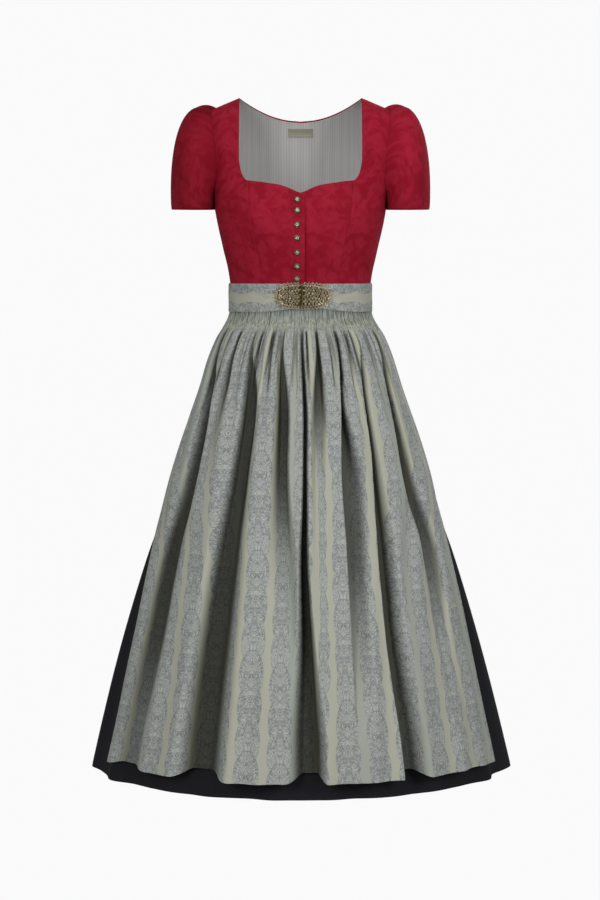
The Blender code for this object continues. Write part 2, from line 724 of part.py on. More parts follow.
def apron(across, drop):
    """A point on the apron's outside. Across runs from -1 at one edge to 1 at the other."""
    angle = across * np.radians(read(APRON, "edge", drop))
    taper = 1 - EDGE_TAPER * np.abs(across) ** 3
    billow = read(APRON, "billow", drop) * taper * (1 - trough_depth(across, drop))
    gather = read(APRON, "gather", drop) * (1 + np.cos(APRON_COLUMNS * QUARTER_TURN * (across + 1)))
    clearance = fold_reach(angle, drop) + gather_reach(angle, drop) + read(APRON, "clear", drop)
    return pushed_out(SKIRT, angle, drop, clearance + billow + gather + APRON_CLOTH)


def add_apron(material):
    across, row = np.meshgrid(np.linspace(-1, 1, APRON_COLUMNS + 1), np.arange(len(APRON_DOWN)))
    top = BAND_TOP + BAND_HEIGHT - APRON_TUCK
    hem = APRON_HEM_DROP - APRON_HEM_RISE * trough_depth(across, APRON_HEM_DROP)
    drop = top + (hem - top) * np.array(APRON_DOWN)[row] / APRON_DOWN[-1]
    normals = normals_of(apron, across, drop)
    add_wall("apron_panel", apron(across, drop), normals, APRON_CLOTH, material)


def fan_solid(name, rings, top, bottom, material):
    """A solid of closed rings from the base's rim upwards, with a point on each side."""
    sides = len(rings[0])
    points = np.concatenate([np.concatenate(rings), [top], [bottom]])
    faces = []
    for level in range(len(rings) - 1):
        for side in range(sides):
            after = (side + 1) % sides
            a, b = level * sides + side, level * sides + after
            faces.append((a, b, b + sides, a + sides))
    last, high, low = (len(rings) - 1) * sides, len(points) - 2, len(points) - 1
    for side in range(sides):
        after = (side + 1) % sides
        faces.append((last + side, last + after, high))
        faces.append((after, side, low))
    add_solid(name, points, faces, material, crease=70.0)


def add_buttons(material):
    for number, drop in enumerate(BUTTON_DROPS, start=1):
        angle, turn = front_place(BUTTON_ACROSS, drop)
        angle, turn = np.array([angle]), np.array([turn])
        normal = normals_of(torso, angle, turn)[0]
        base = lapped(angle, turn)[0] + normal * BUTTON_LIFT
        sideways = np.cross([0.0, 0.0, 1.0], normal)
        sideways /= np.linalg.norm(sideways)
        upward = np.cross(normal, sideways)
        rings = []
        for radius, height in BUTTON_PROFILE:
            around = np.arange(BUTTON_SIDES)[:, None] * 2 * HALF_TURN / BUTTON_SIDES
            flat = radius * (np.cos(around) * sideways + np.sin(around) * upward)
            rings.append(base + normal * height + flat)
        fan_solid(f"button_{number}", rings, base + normal * BUTTON_TOP, base, material)


def clasp_outline(width, side):
    """A half's rim: straight towards the split, narrowing outwards, with bead lobes."""
    outline = []
    count = 2 * CLASP_LOBES
    for index in range(count):
        around = 2 * HALF_TURN * index / count
        outward, upward = math.cos(around), math.sin(around)
        blunt = 2 / (CLASP_END_ROUNDNESS if outward > 0 else CLASP_SPLIT_ROUNDNESS)
        lobe = 1.0 if index % 2 else CLASP_DIP
        along = math.copysign(abs(outward) ** blunt, outward)
        along *= lobe if outward > CLASP_STRAIGHT_FROM else 1.0
        narrow = 1 - CLASP_NARROWING * max(0.0, outward)
        high = CLASP_HEIGHT / 2 * narrow * lobe * math.copysign(abs(upward) ** CLASP_FULLNESS, upward)
        outline.append((side * width / 2 * (1 + along), high))
    return np.array(outline)


def on_band(across, high, lift):
    """A point over the band's outside, from a place measured across and up from its middle."""
    share = 0.5 - high / BAND_HEIGHT
    drop = BAND_TOP + BAND_HEIGHT * share
    angle = angle_across(WAIST, drop, across)
    return band_surface(np.array([angle]), np.array([share]), BAND_CLOTH + lift)[0]


def add_clasp_half(name, side, width, material):
    outline = clasp_outline(width, side)
    middle = np.array([side * width / 2, 0.0])
    edge = CLASP_SPLIT + side * CLASP_HALF_GAP

    def ring_at(scale, lift):
        places = middle + (outline - middle) * scale
        return np.array([on_band(edge + across, high + CLASP_RAISE, lift) for across, high in places])

    rings = [ring_at(CLASP_BACK_RING, CLASP_LIFT), ring_at(1.0, CLASP_LIFT)]
    rings += [ring_at(scale, CLASP_LIFT + height) for scale, height in CLASP_RINGS]
    top = on_band(edge + middle[0], CLASP_RAISE, CLASP_LIFT + CLASP_TOP)
    bottom = on_band(edge + middle[0], CLASP_RAISE, CLASP_LIFT)
    fan_solid(name, rings, top, bottom, material)


def main():
    for old in list(bpy.data.objects):
        bpy.data.objects.remove(old, do_unlink=True)
    red = make_material("bodice_jacquard", (0.26, 0.012, 0.022), 0.75)
    grey = make_material("lining_cotton", (0.36, 0.36, 0.34), 0.85)
    navy = make_material("skirt_cloth", (0.012, 0.013, 0.018), 0.80)
    green = make_material("apron_jacquard", (0.32, 0.34, 0.29), 0.55)
    metal = make_material("antique_metal", (0.30, 0.24, 0.12), 0.40, 1.0)
    khaki = make_material("label_satin", (0.25, 0.21, 0.12), 0.50)
    add_side_front("front_side_left", 1, red)
    add_side_front("front_side_right", -1, red)
    add_centre_fronts(red)
    add_back(red, grey)
    add_label(khaki)
    add_sleeve("sleeve_left", 1, red)
    add_sleeve("sleeve_right", -1, red)
    add_skirt("skirt_front", -QUARTER_TURN, QUARTER_TURN, SKIRT_FRONT_COLUMNS, navy)
    add_skirt("skirt_back", QUARTER_TURN, 3 * QUARTER_TURN, SKIRT_BACK_COLUMNS, navy)
    add_band(green)
    add_apron(green)
    add_buttons(metal)
    add_clasp_half("clasp_left", 1, CLASP_LEFT_WIDTH, metal)
    add_clasp_half("clasp_right", -1, CLASP_RIGHT_WIDTH, metal)


main()
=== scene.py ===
# A worn-form dirndl: red buttoned bodice, dark gathered skirt, and a striped apron on a clasped band.
import math

import bmesh
import bpy
import numpy as np
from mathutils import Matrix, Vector


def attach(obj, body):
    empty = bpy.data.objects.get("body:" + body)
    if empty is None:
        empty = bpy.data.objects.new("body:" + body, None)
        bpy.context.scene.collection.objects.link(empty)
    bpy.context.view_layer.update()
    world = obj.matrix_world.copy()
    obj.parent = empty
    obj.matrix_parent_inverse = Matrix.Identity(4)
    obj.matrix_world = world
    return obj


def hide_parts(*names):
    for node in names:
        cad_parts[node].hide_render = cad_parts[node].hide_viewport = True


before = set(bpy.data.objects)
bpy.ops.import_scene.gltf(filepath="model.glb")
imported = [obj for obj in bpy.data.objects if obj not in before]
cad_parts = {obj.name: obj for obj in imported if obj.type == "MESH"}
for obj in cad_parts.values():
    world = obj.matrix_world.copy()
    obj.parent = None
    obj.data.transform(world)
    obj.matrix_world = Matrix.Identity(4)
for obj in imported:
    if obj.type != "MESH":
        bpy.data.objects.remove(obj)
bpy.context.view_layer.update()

# Tables are in millimetres, meshes in metres. The front faces -Y and +X is the wearer's left.
# "drop" is the distance below the shoulders, "turn" the way down over the shoulder line.
mm = 0.001
halfTurn = math.pi
quarterTurn = math.pi / 2
print("dirndl: frame loaded,", len(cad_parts), "solids")


# Tables, rings and places

def readTable(table, column, at):
    # a table's column on a smooth curve through its rows
    keys, values = np.array(table["drop"], float), np.array(table[column], float)
    slopes = np.gradient(values, keys)
    at = np.clip(at, keys[0], keys[-1])
    low = np.clip(np.searchsorted(keys, at, side="right") - 1, 0, len(keys) - 2)
    span = keys[low + 1] - keys[low]
    part = (at - keys[low]) / span
    start = values[low] * (1 + 2 * part) + slopes[low] * span * part
    end = values[low + 1] * (3 - 2 * part) - slopes[low + 1] * span * (1 - part)
    return start * (1 - part) ** 2 + end * part**2


def softStep(part):
    part = np.clip(part, 0.0, 1.0)
    return part * part * (3 - 2 * part)


def rising(value, start, over):
    # goes smoothly from 0 to 1 where the value passes the start, over this distance
    return softStep((value - start) / over)


def bell(distance, width):
    return np.exp(-((distance / width) ** 2))


def bisect(low, high, tooLow):
    for _ in range(32):
        middle = (low + high) / 2
        under = tooLow(middle)
        low, high = np.where(under, middle, low), np.where(under, high, middle)
    return (low + high) / 2


def ring(table, drop, angle):
    # a rounded outline: how far across and how far back a point lies
    roundness = readTable(table, "roundness", drop)
    depth = np.where(np.cos(angle) > 0, readTable(table, "front", drop), readTable(table, "back", drop))
    along = np.abs(np.cos(angle) / depth) ** roundness
    across = np.abs(np.sin(angle) / readTable(table, "halfWidth", drop)) ** roundness
    reach = (along + across) ** (-1 / roundness)
    return reach * np.sin(angle), -reach * np.cos(angle)


def pushedOut(table, angle, drop, out):
    # a ring's point moved level outwards
    step = 1e-4
    across, depth = ring(table, drop, angle)
    before, after = ring(table, drop, angle - step), ring(table, drop, angle + step)
    along, back = after[0] - before[0], after[1] - before[1]
    length = np.hypot(along, back)
    return np.stack([across + back / length * out, depth - along / length * out, -drop], axis=-1)


def sideName(side):
    return "left" if side > 0 else "right"


def offFront(angle):
    return np.abs(np.arctan2(np.sin(angle), np.cos(angle)))


# Meshes

def gridNormals(points, closed=False):
    # outward normals of a grid whose rows run down and whose columns run round
    down = np.gradient(points, axis=0)
    if closed:
        around = np.roll(points[:, :-1], -1, axis=1) - np.roll(points[:, :-1], 1, axis=1)
        around = np.concatenate([around, around[:, :1]], axis=1)
    else:
        around = np.gradient(points, axis=1)
    normals = np.cross(down, around)
    return normals / np.maximum(np.linalg.norm(normals, axis=-1, keepdims=True), 1e-9)


def lengthAlong(points, axis):
    # running length along a grid's rows or columns
    steps = np.linalg.norm(np.diff(points, axis=axis), axis=-1)
    start = np.zeros_like(np.take(steps, [0], axis=axis))
    return np.cumsum(np.concatenate([start, steps], axis=axis), axis=axis)


def shellFaces(rows, columns, closed):
    index = np.arange(rows * columns).reshape(rows, columns)
    inner = index + rows * columns
    a, b, c, d = index[:-1, :-1], index[:-1, 1:], index[1:, 1:], index[1:, :-1]
    parts = [np.stack([a, d, c, b], -1).reshape(-1, 4)]
    parts.append(np.stack([a, b, c, d], -1).reshape(-1, 4) + rows * columns)
    parts.append(np.stack([index[0, :-1], index[0, 1:], inner[0, 1:], inner[0, :-1]], -1))
    parts.append(np.stack([index[-1, 1:], index[-1, :-1], inner[-1, :-1], inner[-1, 1:]], -1))
    if not closed:
        parts.append(np.stack([index[1:, 0], index[:-1, 0], inner[:-1, 0], inner[1:, 0]], -1))
        parts.append(np.stack([index[:-1, -1], index[1:, -1], inner[1:, -1], inner[:-1, -1]], -1))
    return np.concatenate(parts)


def makeObject(name, points, faces, material, uv=None, crease=55):
    mesh = bpy.data.meshes.new(name)
    mesh.from_pydata((np.asarray(points) * mm).tolist(), [], [list(map(int, face)) for face in faces])
    if uv is not None:
        layer = mesh.uv_layers.new(name="cloth")
        corners = np.zeros(len(mesh.loops), int)
        mesh.loops.foreach_get("vertex_index", corners)
        layer.data.foreach_set("uv", (np.asarray(uv) * mm)[corners].ravel())
    mesh.materials.append(material)
    edit = bmesh.new()
    edit.from_mesh(mesh)
    bmesh.ops.remove_doubles(edit, verts=edit.verts, dist=1e-6)
    bmesh.ops.recalc_face_normals(edit, faces=edit.faces)
    edit.to_mesh(mesh)
    edit.free()
    mesh.shade_smooth()
    mesh.set_sharp_from_angle(angle=math.radians(crease))
    piece = bpy.data.objects.new(name, mesh)
    bpy.context.scene.collection.objects.link(piece)
    return piece


def makeCloth(name, outer, thickness, material, uv, closed=False):
    # a thin shell under its outer points; a closed one repeats its first column at the end
    normals = gridNormals(outer, closed)
    inner = outer - normals * thickness
    points = np.concatenate([outer.reshape(-1, 3), inner.reshape(-1, 3)])
    flat = np.concatenate([uv.reshape(-1, 2)] * 2)
    return makeObject(name, points, shellFaces(*outer.shape[:2], closed), material, flat)


def paintShade(piece, values):
    # marks painted shade on a piece for the materials to darken; values below zero mark painted highlights
    layer = piece.data.attributes.new("recess", "FLOAT", "POINT")
    layer.data.foreach_set("value", np.asarray(values, np.float32).ravel())


def ringFaces(base, rings, spokes):
    # faces between rings of points that follow one another
    faces = []
    for level in range(rings - 1):
        for spoke in range(spokes):
            a, b = base + level * spokes + spoke, base + level * spokes + (spoke + 1) % spokes
            faces.append((a, b, b + spokes, a + spokes))
    return faces


def fanFaces(base, spokes, tip):
    # faces from a ring of points to a single one
    return [(base + spoke, base + (spoke + 1) % spokes, tip) for spoke in range(spokes)]


def tubeMesh(paths, radii, sides=6):
    # round wires along open paths, as one set of points and faces
    points, faces, base = [], [], 0
    around = (np.arange(sides) * 2 * halfTurn / sides)[None, :, None]
    for path, radius in zip(paths, radii):
        along = np.gradient(path, axis=0)
        along /= np.maximum(np.linalg.norm(along, axis=1, keepdims=True), 1e-9)
        side = np.cross(along, [0.05, -1.0, 0.02])
        side /= np.maximum(np.linalg.norm(side, axis=1, keepdims=True), 1e-9)
        up = np.cross(side, along)
        loops = path[:, None] + (np.cos(around) * side[:, None] + np.sin(around) * up[:, None]) * radius
        points += [loops.reshape(-1, 3), path[:1], path[-1:]]
        tip = base + len(path) * sides
        faces += ringFaces(base, len(path), sides) + fanFaces(base, sides, tip)
        faces += fanFaces(tip - sides, sides, tip + 1)
        base = tip + 2
    return np.concatenate(points), faces


# Node trees

def hexColour(code):
    # sRGB hex to the linear values that Blender mixes
    parts = [int(code[i:i + 2], 16) / 255 for i in (1, 3, 5)]
    return tuple(p / 12.92 if p <= 0.04045 else ((p + 0.055) / 1.055) ** 2.4 for p in parts) + (1.0,)


def feed(tree, node, inputs):
    # sets a node's inputs: a value, a hex colour, a node's first output in use, or (node, output name)
    for socket, source in inputs.items():
        if isinstance(source, str) and source.startswith("#"):
            source = hexColour(source)
        if isinstance(source, bpy.types.Node):
            tree.links.new(next(out for out in source.outputs if out.enabled), node.inputs[socket])
        elif isinstance(source, tuple) and isinstance(source[0], bpy.types.Node):
            tree.links.new(source[0].outputs[source[1]], node.inputs[socket])
        else:
            node.inputs[socket].default_value = source
    return node


def addNode(tree, kind, inputs=None, **settings):
    node = tree.nodes.new(kind)
    for name, value in settings.items():
        setattr(node, name, value)
    return feed(tree, node, inputs or {})


def newMaterial(name):
    material = bpy.data.materials.new(name)
    material.use_nodes = True
    return material, material.node_tree


def coated(material, inputs):
    # feeds a material's shader and hands the material back
    tree = material.node_tree
    feed(tree, tree.nodes["Principled BSDF"], inputs)
    return material


def geometryTree(name, sizes):
    # a Geometry Nodes group with a geometry input, a material input and the named sizes
    tree = bpy.data.node_groups.new(name, "GeometryNodeTree")
    tree.interface.new_socket("Geometry", in_out="INPUT", socket_type="NodeSocketGeometry")
    tree.interface.new_socket("Material", in_out="INPUT", socket_type="NodeSocketMaterial")
    for label, value in sizes.items():
        kind = "NodeSocketInt" if isinstance(value, int) else "NodeSocketFloat"
        tree.interface.new_socket(label, in_out="INPUT", socket_type=kind).default_value = value
    tree.interface.new_socket("Geometry", in_out="OUTPUT", socket_type="NodeSocketGeometry")
    return tree, tree.nodes.new("NodeGroupInput"), tree.nodes.new("NodeGroupOutput")


def runTree(name, tree, guide, material, sizes, crease=60):
    # runs a tree on a guide mesh, keeps the result as a plain mesh and drops the guide
    modifier = guide.modifiers.new("make", "NODES")
    modifier.node_group = tree
    values = dict(sizes, Material=material)
    for item in tree.interface.items_tree:
        if item.in_out == "INPUT" and item.name in values:
            modifier[item.identifier] = values[item.name]
    bpy.context.view_layer.update()
    made = guide.evaluated_get(bpy.context.evaluated_depsgraph_get())
    mesh = bpy.data.meshes.new_from_object(made)
    mesh.shade_smooth()
    mesh.set_sharp_from_angle(angle=math.radians(crease))
    bpy.data.objects.remove(guide)
    mesh.name = name
    piece = bpy.data.objects.new(name, mesh)
    bpy.context.scene.collection.objects.link(piece)
    return piece


def guideLines(name, lines):
    # loose edges in metres, one run for each line
    points, edges, base = [], [], 0
    for line in lines:
        points.append(np.asarray(line, float))
        edges += [(base + i, base + i + 1) for i in range(len(line) - 1)]
        base += len(line)
    mesh = bpy.data.meshes.new(name)
    mesh.from_pydata((np.concatenate(points) * mm).tolist(), edges, [])
    guide = bpy.data.objects.new(name, mesh)
    bpy.context.scene.collection.objects.link(guide)
    return guide


# Camera, floor and light

view = dict(lens=106.67, place=(-0.0009, -4.8, -0.2799), tiltDown=4.182)
camera = bpy.data.objects.new("camera", bpy.data.cameras.new("camera"))
camera.data.lens = view["lens"]
camera.location = view["place"]
camera.rotation_euler = (math.radians(90 - view["tiltDown"]), 0, 0)
bpy.context.scene.collection.objects.link(camera)
bpy.context.scene.camera = camera
bpy.context.scene.view_settings.view_transform = "Standard"

studio = dict(
    floorDrop=2.3, floorReach=60.0, wallColour="#FAFAFA", ambient=0.30,
    # name, place, aim, width, height, spread in degrees, watts
    lamps=[
        ("keyLamp", (-2.1, -4.4, 0.6), (0, 0, -0.90), 1.5, 1.8, 90, 27.5),
        ("bodiceLamp", (2.7, -4.1, 1.1), (0, 0, -0.33), 1.6, 1.6, 90, 22),
        ("fillLamp", (3.4, -2.6, -0.2), (0, 0, -0.62), 2.4, 2.6, 120, 13),
        ("topLamp", (0.0, -0.9, 3.2), (0, 0, -0.4), 3.0, 2.0, 120, 18),
        ("backLamp", (1.6, 4.2, 1.2), (0, 0, -0.6), 3.0, 3.0, 120, 30),
    ],
)


def paleStage():
    # a pale floor and far backdrop that show as plain white and leave the light to the lamps
    reach, low = studio["floorReach"], -studio["floorDrop"]
    material, _ = newMaterial("paleBackdropPaper")
    coated(material, {
        "Base Color": "#101010", "Roughness": 0.9, "Specular IOR Level": 0.0,
        "Emission Color": studio["wallColour"], "Emission Strength": 1.0,
    })
    wall, floor = bpy.data.meshes.new("farWall"), bpy.data.meshes.new("floor")
    for mesh in (wall, floor):
        edit = bmesh.new()
        if mesh is wall:
            bmesh.ops.create_uvsphere(edit, u_segments=48, v_segments=24, radius=reach)
            bmesh.ops.reverse_faces(edit, faces=edit.faces)
        else:
            bmesh.ops.create_circle(edit, cap_ends=True, segments=64, radius=reach)
            bmesh.ops.translate(edit, verts=edit.verts, vec=(0, 0, low))
        edit.to_mesh(mesh)
        edit.free()
        mesh.materials.append(material)
        thing = bpy.data.objects.new(mesh.name, mesh)
        thing.visible_diffuse = False
        thing.visible_glossy = False
        thing.visible_shadow = False
        bpy.context.scene.collection.objects.link(thing)


def softLamps():
    world = bpy.data.worlds.new("studioAir")
    world.use_nodes = True
    world.node_tree.nodes["Background"].inputs["Color"].default_value = hexColour("#FFFFFF")
    world.node_tree.nodes["Background"].inputs["Strength"].default_value = studio["ambient"]
    bpy.context.scene.world = world
    for name, place, aim, width, height, spread, watts in studio["lamps"]:
        lamp = bpy.data.lights.new(name, "AREA")
        lamp.shape, lamp.size, lamp.size_y, lamp.energy = "RECTANGLE", width, height, watts
        lamp.spread = math.radians(spread)
        holder = bpy.data.objects.new(name, lamp)
        holder.location = place
        holder.rotation_euler = (Vector(aim) - Vector(place)).to_track_quat("-Z", "Y").to_euler()
        bpy.context.scene.collection.objects.link(holder)


paleStage()
softLamps()
print("dirndl: camera, floor and lamps ready")


# Materials

perMillimetre = (1000, 1000, 1000)


def clothPlace(tree, scale=None):
    # the cloth's own coordinates, in metres or multiplied by a scale on each axis
    uv = addNode(tree, "ShaderNodeUVMap", uv_map="cloth")
    return addNode(tree, "ShaderNodeMapping", {0: uv, "Scale": scale}) if scale else uv


def objectPlace(tree):
    return addNode(tree, "ShaderNodeTexCoord"), "Object"


def addMath(tree, operation, *values):
    return addNode(tree, "ShaderNodeMath", dict(enumerate(values)), operation=operation)


def noiseAt(tree, place, scale, detail=2.0, roughness=0.5):
    inputs = {0: place, "Scale": scale, "Detail": detail, "Roughness": roughness}
    return addNode(tree, "ShaderNodeTexNoise", inputs)


def cellsAt(tree, place, scale, feature="F1", **inputs):
    return addNode(tree, "ShaderNodeTexVoronoi", {0: place, "Scale": scale, **inputs}, feature=feature)


def twillAt(tree, place, scale, distortion):
    inputs = {0: place, "Scale": scale, "Distortion": distortion}
    return addNode(tree, "ShaderNodeTexWave", inputs, bands_direction="DIAGONAL")


def ranged(tree, value, fromLow=0.0, fromHigh=1.0, toLow=0.0, toHigh=1.0, smooth=False):
    inputs = {"Value": value, "From Min": fromLow, "From Max": fromHigh, "To Min": toLow, "To Max": toHigh}
    kind = "SMOOTHSTEP" if smooth else "LINEAR"
    return addNode(tree, "ShaderNodeMapRange", inputs, interpolation_type=kind)


def mixed(tree, share, first, second, blend="MIX"):
    return addNode(tree, "ShaderNodeMix", {0: share, 6: first, 7: second}, data_type="RGBA", blend_type=blend)


def timesOver(tree, colour, tint):
    return mixed(tree, 1.0, colour, tint, "MULTIPLY")


def bumped(tree, height, strength, distance):
    return addNode(tree, "ShaderNodeBump", {"Strength": strength, "Distance": distance, "Height": height})


def warpedBy(tree, place, scale, reach):
    # a place pushed about by soft noise
    push = (noiseAt(tree, place, scale), "Color")
    bent = addNode(tree, "ShaderNodeVectorMath", {0: push, 1: reach}, operation="MULTIPLY")
    return addNode(tree, "ShaderNodeVectorMath", {0: place, 1: bent}, operation="ADD")


def shadedBy(tree, colour, tint):
    # painted shade: colour deepened where the piece carries the shade mark
    mark = addNode(tree, "ShaderNodeAttribute", attribute_name="recess")
    return mixed(tree, ranged(tree, (mark, "Fac"), 0.1, smooth=True), colour, tint, "MULTIPLY")


def redJacquard():
    # red cotton woven with flowers in the same red: a dull ground, and flowers a little deeper in tone
    # real threads are 0.4 mm apart and drawn at 1 mm, as coarse as they need to show
    material, tree = newMaterial("redWovenJacquard")
    flat = clothPlace(tree, perMillimetre)
    warped = warpedBy(tree, flat, 0.05, (26, 26, 0))
    petals = cellsAt(tree, warped, 0.055, "SMOOTH_F1", Smoothness=0.5)
    clusters = noiseAt(tree, flat, 0.014)
    leaves = noiseAt(tree, warped, 0.07, 3.0, 0.55)
    drawn = addMath(tree, "ADD", addMath(tree, "MULTIPLY", petals, clusters), leaves)
    motif = ranged(tree, drawn, 0.58, 0.92, smooth=True)
    dyed = ranged(tree, clusters, 0.35, 0.68, 1.05, 0.92, smooth=True)
    slub = noiseAt(tree, clothPlace(tree, (160, 900, 1)), 1.0, 3.0)
    tint = addMath(tree, "MULTIPLY", ranged(tree, slub, toLow=0.86, toHigh=1.14), dyed)
    relief = addMath(tree, "ADD", motif, twillAt(tree, flat, 0.42, 0.6))
    toned = timesOver(tree, mixed(tree, motif, "#8F1A2D", "#841022"), tint)
    # painted shade: the shade mark deepens the red at seams, beside the lap, at the sides and on the sleeves
    return coated(material, {
        "Base Color": shadedBy(tree, toned, "#9A4454"),
        "Normal": bumped(tree, relief, 0.2, 0.0003), "Roughness": 0.8, "Specular IOR Level": 0.06,
        "Sheen Weight": 0.04, "Sheen Roughness": 0.5, "Sheen Tint": "#C05060",
    })


def stripedLining():
    # dull grey cotton lining with fine darker stripes woven 5 mm apart and broad paler ones 21 mm apart
    material, tree = newMaterial("stripedCottonLining")
    fineHalf, broadHalf = 0.0026, 0.0104
    uv = clothPlace(tree)
    place = addNode(tree, "ShaderNodeSeparateXYZ", {0: uv})
    stripe = ranged(tree, addMath(tree, "PINGPONG", (place, "X"), fineHalf), 0.0003, 0.0011, smooth=True)
    broad = ranged(tree, addMath(tree, "PINGPONG", (place, "X"), broadHalf), 0.0, broadHalf, 0.96, 1.04)
    fleck = ranged(tree, noiseAt(tree, uv, 420.0), toLow=0.92, toHigh=1.08)
    lines = mixed(tree, stripe, "#A6A6A6", "#B6B6B4")
    return coated(material, {
        "Base Color": timesOver(tree, timesOver(tree, lines, broad), fleck),
        "Normal": bumped(tree, stripe, 0.2, 0.0002), "Roughness": 0.86, "Specular IOR Level": 0.1,
    })


def navySkirtCloth():
    # near-black navy twill: very dark and dull, with a fine slanting rib
    material, tree = newMaterial("navyTwillSkirt")
    flat = clothPlace(tree, perMillimetre)
    return coated(material, {
        "Base Color": mixed(tree, noiseAt(tree, flat, 0.35, 3.0), "#17171A", "#222227"),
        "Normal": bumped(tree, twillAt(tree, flat, 0.38, 0.5), 0.25, 0.0002),
        "Roughness": 0.8, "Specular IOR Level": 0.08,
    })


apronPattern = dict(
    pitch=0.062, bandHalf=0.0178, swell=0.0068, lobe=0.056, slide=0.37, period=0.168, rim=0.0024,
    ringRate=14.0,  # rings in a scroll, in radians for each cell
    # the last colour tints the painted shade in the grooves and between the gathers
    plain="#9B9C8E", satin="#8F948A", ground="#AFB0A6", line="#6B7070", blush="#989B97", shadeTone="#5C5C52",
)


def greenJacquard():
    # grey-green jacquard: plain beige stripes between lobed bands of blue-grey paisley scrolls
    # the scroll lines are about 1.3 mm wide, a little coarser than woven ones, so that they show
    material, tree = newMaterial("stripedPaisleyJacquard")
    look = apronPattern
    place = addNode(tree, "ShaderNodeSeparateXYZ", {0: clothPlace(tree)})
    number = addMath(tree, "FLOOR", addMath(tree, "MULTIPLY_ADD", (place, "X"), 1 / look["pitch"], 0.5))
    slid = addMath(tree, "MULTIPLY_ADD", number, look["lobe"] * look["slide"], (place, "Y"))
    across = addMath(tree, "PINGPONG", (place, "X"), look["pitch"] / 2)
    lobes = addMath(tree, "SINE", addMath(tree, "MULTIPLY", slid, halfTurn / look["lobe"]))
    rounded = addMath(tree, "POWER", addMath(tree, "ABSOLUTE", lobes), 0.6)
    broad = addMath(tree, "MULTIPLY_ADD", rounded, look["swell"], look["bandHalf"])
    inside = addMath(tree, "SUBTRACT", broad, across)
    # the motifs lie on a cylinder in texture space, so that they repeat down the band
    turn = addMath(tree, "MULTIPLY", slid, 2 * halfTurn / look["period"])
    wide, high = addMath(tree, "COSINE", turn), addMath(tree, "SINE", turn)
    radius = look["period"] / (2 * halfTurn) / mm
    spot = addNode(tree, "ShaderNodeCombineXYZ", {0: across, 1: wide, 2: high})
    flat = addNode(tree, "ShaderNodeVectorMath", {0: spot, 1: (1 / mm, radius, radius)}, operation="MULTIPLY")
    warped = warpedBy(tree, flat, 0.12, (12, 12, 12))
    rings = addMath(tree, "MULTIPLY", cellsAt(tree, warped, 0.14), look["ringRate"])
    curl = ranged(tree, addMath(tree, "SINE", rings), 0.25, 0.75)
    vein = ranged(tree, cellsAt(tree, warped, 0.2, "DISTANCE_TO_EDGE"), 0.02, 0.09, 1.0, 0.0)
    dot = ranged(tree, cellsAt(tree, flat, 0.36), 0.20, 0.38, 0.8, 0.0)
    drawn = addMath(tree, "MAXIMUM", curl, addMath(tree, "MAXIMUM", vein, dot))
    grain = ranged(tree, noiseAt(tree, flat, 0.09), 0.38, 0.62, 0.62, 1.0)
    rim = ranged(tree, inside, 0.0004, look["rim"], 0.55, 0.0, smooth=True)
    lined = addMath(tree, "MAXIMUM", addMath(tree, "MULTIPLY", drawn, grain), rim)
    band = mixed(tree, lined, mixed(tree, grain, look["ground"], look["blush"]), look["line"])
    # every third plain stripe is blue-grey
    third = addMath(tree, "FRACT", addMath(tree, "MULTIPLY", (place, "X"), 1 / look["pitch"] / 3))
    stripe = mixed(tree, addMath(tree, "GREATER_THAN", third, 0.667), look["plain"], look["satin"])
    mask = ranged(tree, inside, 0.0, 0.0008)
    slub = noiseAt(tree, clothPlace(tree, (1100, 240, 1)), 1.0)
    toned = timesOver(tree, mixed(tree, mask, stripe, band), ranged(tree, slub, toLow=0.86, toHigh=1.14))
    raised = addMath(tree, "MULTIPLY", lined, mask)
    # painted shade: the shade mark darkens the grooves, the gaps between the gathers and the header's top
    return coated(material, {
        "Base Color": shadedBy(tree, toned, look["shadeTone"]), "Normal": bumped(tree, raised, 0.2, 0.0003),
        "Roughness": ranged(tree, raised, toLow=0.58, toHigh=0.70), "Specular IOR Level": 0.22,
    })


def ruchedSatin():
    # the apron cloth drawn up tight: blue-grey under the band, beige-green where it is let go
    # soft light and dark mottling runs down the ruches
    material, tree = newMaterial("ruchedPaisleyJacquard")
    where = objectPlace(tree)
    place = addNode(tree, "ShaderNodeSeparateXYZ", {0: where})
    colour = mixed(tree, ranged(tree, (place, "Z"), -0.378, -0.404), "#7F8681", "#95988B")
    flat = addNode(tree, "ShaderNodeMapping", {0: where, "Scale": (330, 330, 14)})
    mottle = ranged(tree, noiseAt(tree, flat, 1.0), 0.3, 0.7, 0.55, 1.3)
    return coated(material, {
        "Base Color": timesOver(tree, colour, mottle), "Roughness": 0.6, "Specular IOR Level": 0.3,
    })


def antiqueMetal(name, bright, dark, roughness):
    # cast and wire-worked brass: bright on top, nearly black brown in the recesses, partly antique patina
    # and partly painted shade from the shade mark; noise adds random wear, and marks below zero are painted
    # highlights
    material, tree = newMaterial(name)
    shadeTone = addNode(tree, "ShaderNodeAttribute", attribute_name="recess")
    shadeAndWear = addMath(tree, "ADD", (shadeTone, "Fac"), noiseAt(tree, objectPlace(tree), 420.0, 3.0))
    share = ranged(tree, shadeAndWear, 0.45, 1.25, smooth=True)
    return coated(material, {
        "Base Color": mixed(tree, share, bright, dark), "Metallic": 1.0,
        "Roughness": ranged(tree, share, toLow=roughness, toHigh=0.7),
    })


def labelSatin():
    # khaki satin ribbon, left bare: close threads and a soft gleam
    material, tree = newMaterial("khakiSatinRibbon")
    threads = noiseAt(tree, clothPlace(tree, (150, 1800, 1)), 1.0)
    return coated(material, {
        "Base Color": mixed(tree, threads, "#7F7E6E", "#9C9A8A"), "Roughness": 0.42, "Sheen Weight": 0.1,
    })


def sewingThread(name, colour, shadow):
    # twisted polyester sewing thread: a slight gleam, darker between its turns
    material, tree = newMaterial(name)
    turns = noiseAt(tree, objectPlace(tree), 1500.0, 1.0)
    return coated(material, {"Base Color": mixed(tree, turns, shadow, colour), "Roughness": 0.6})


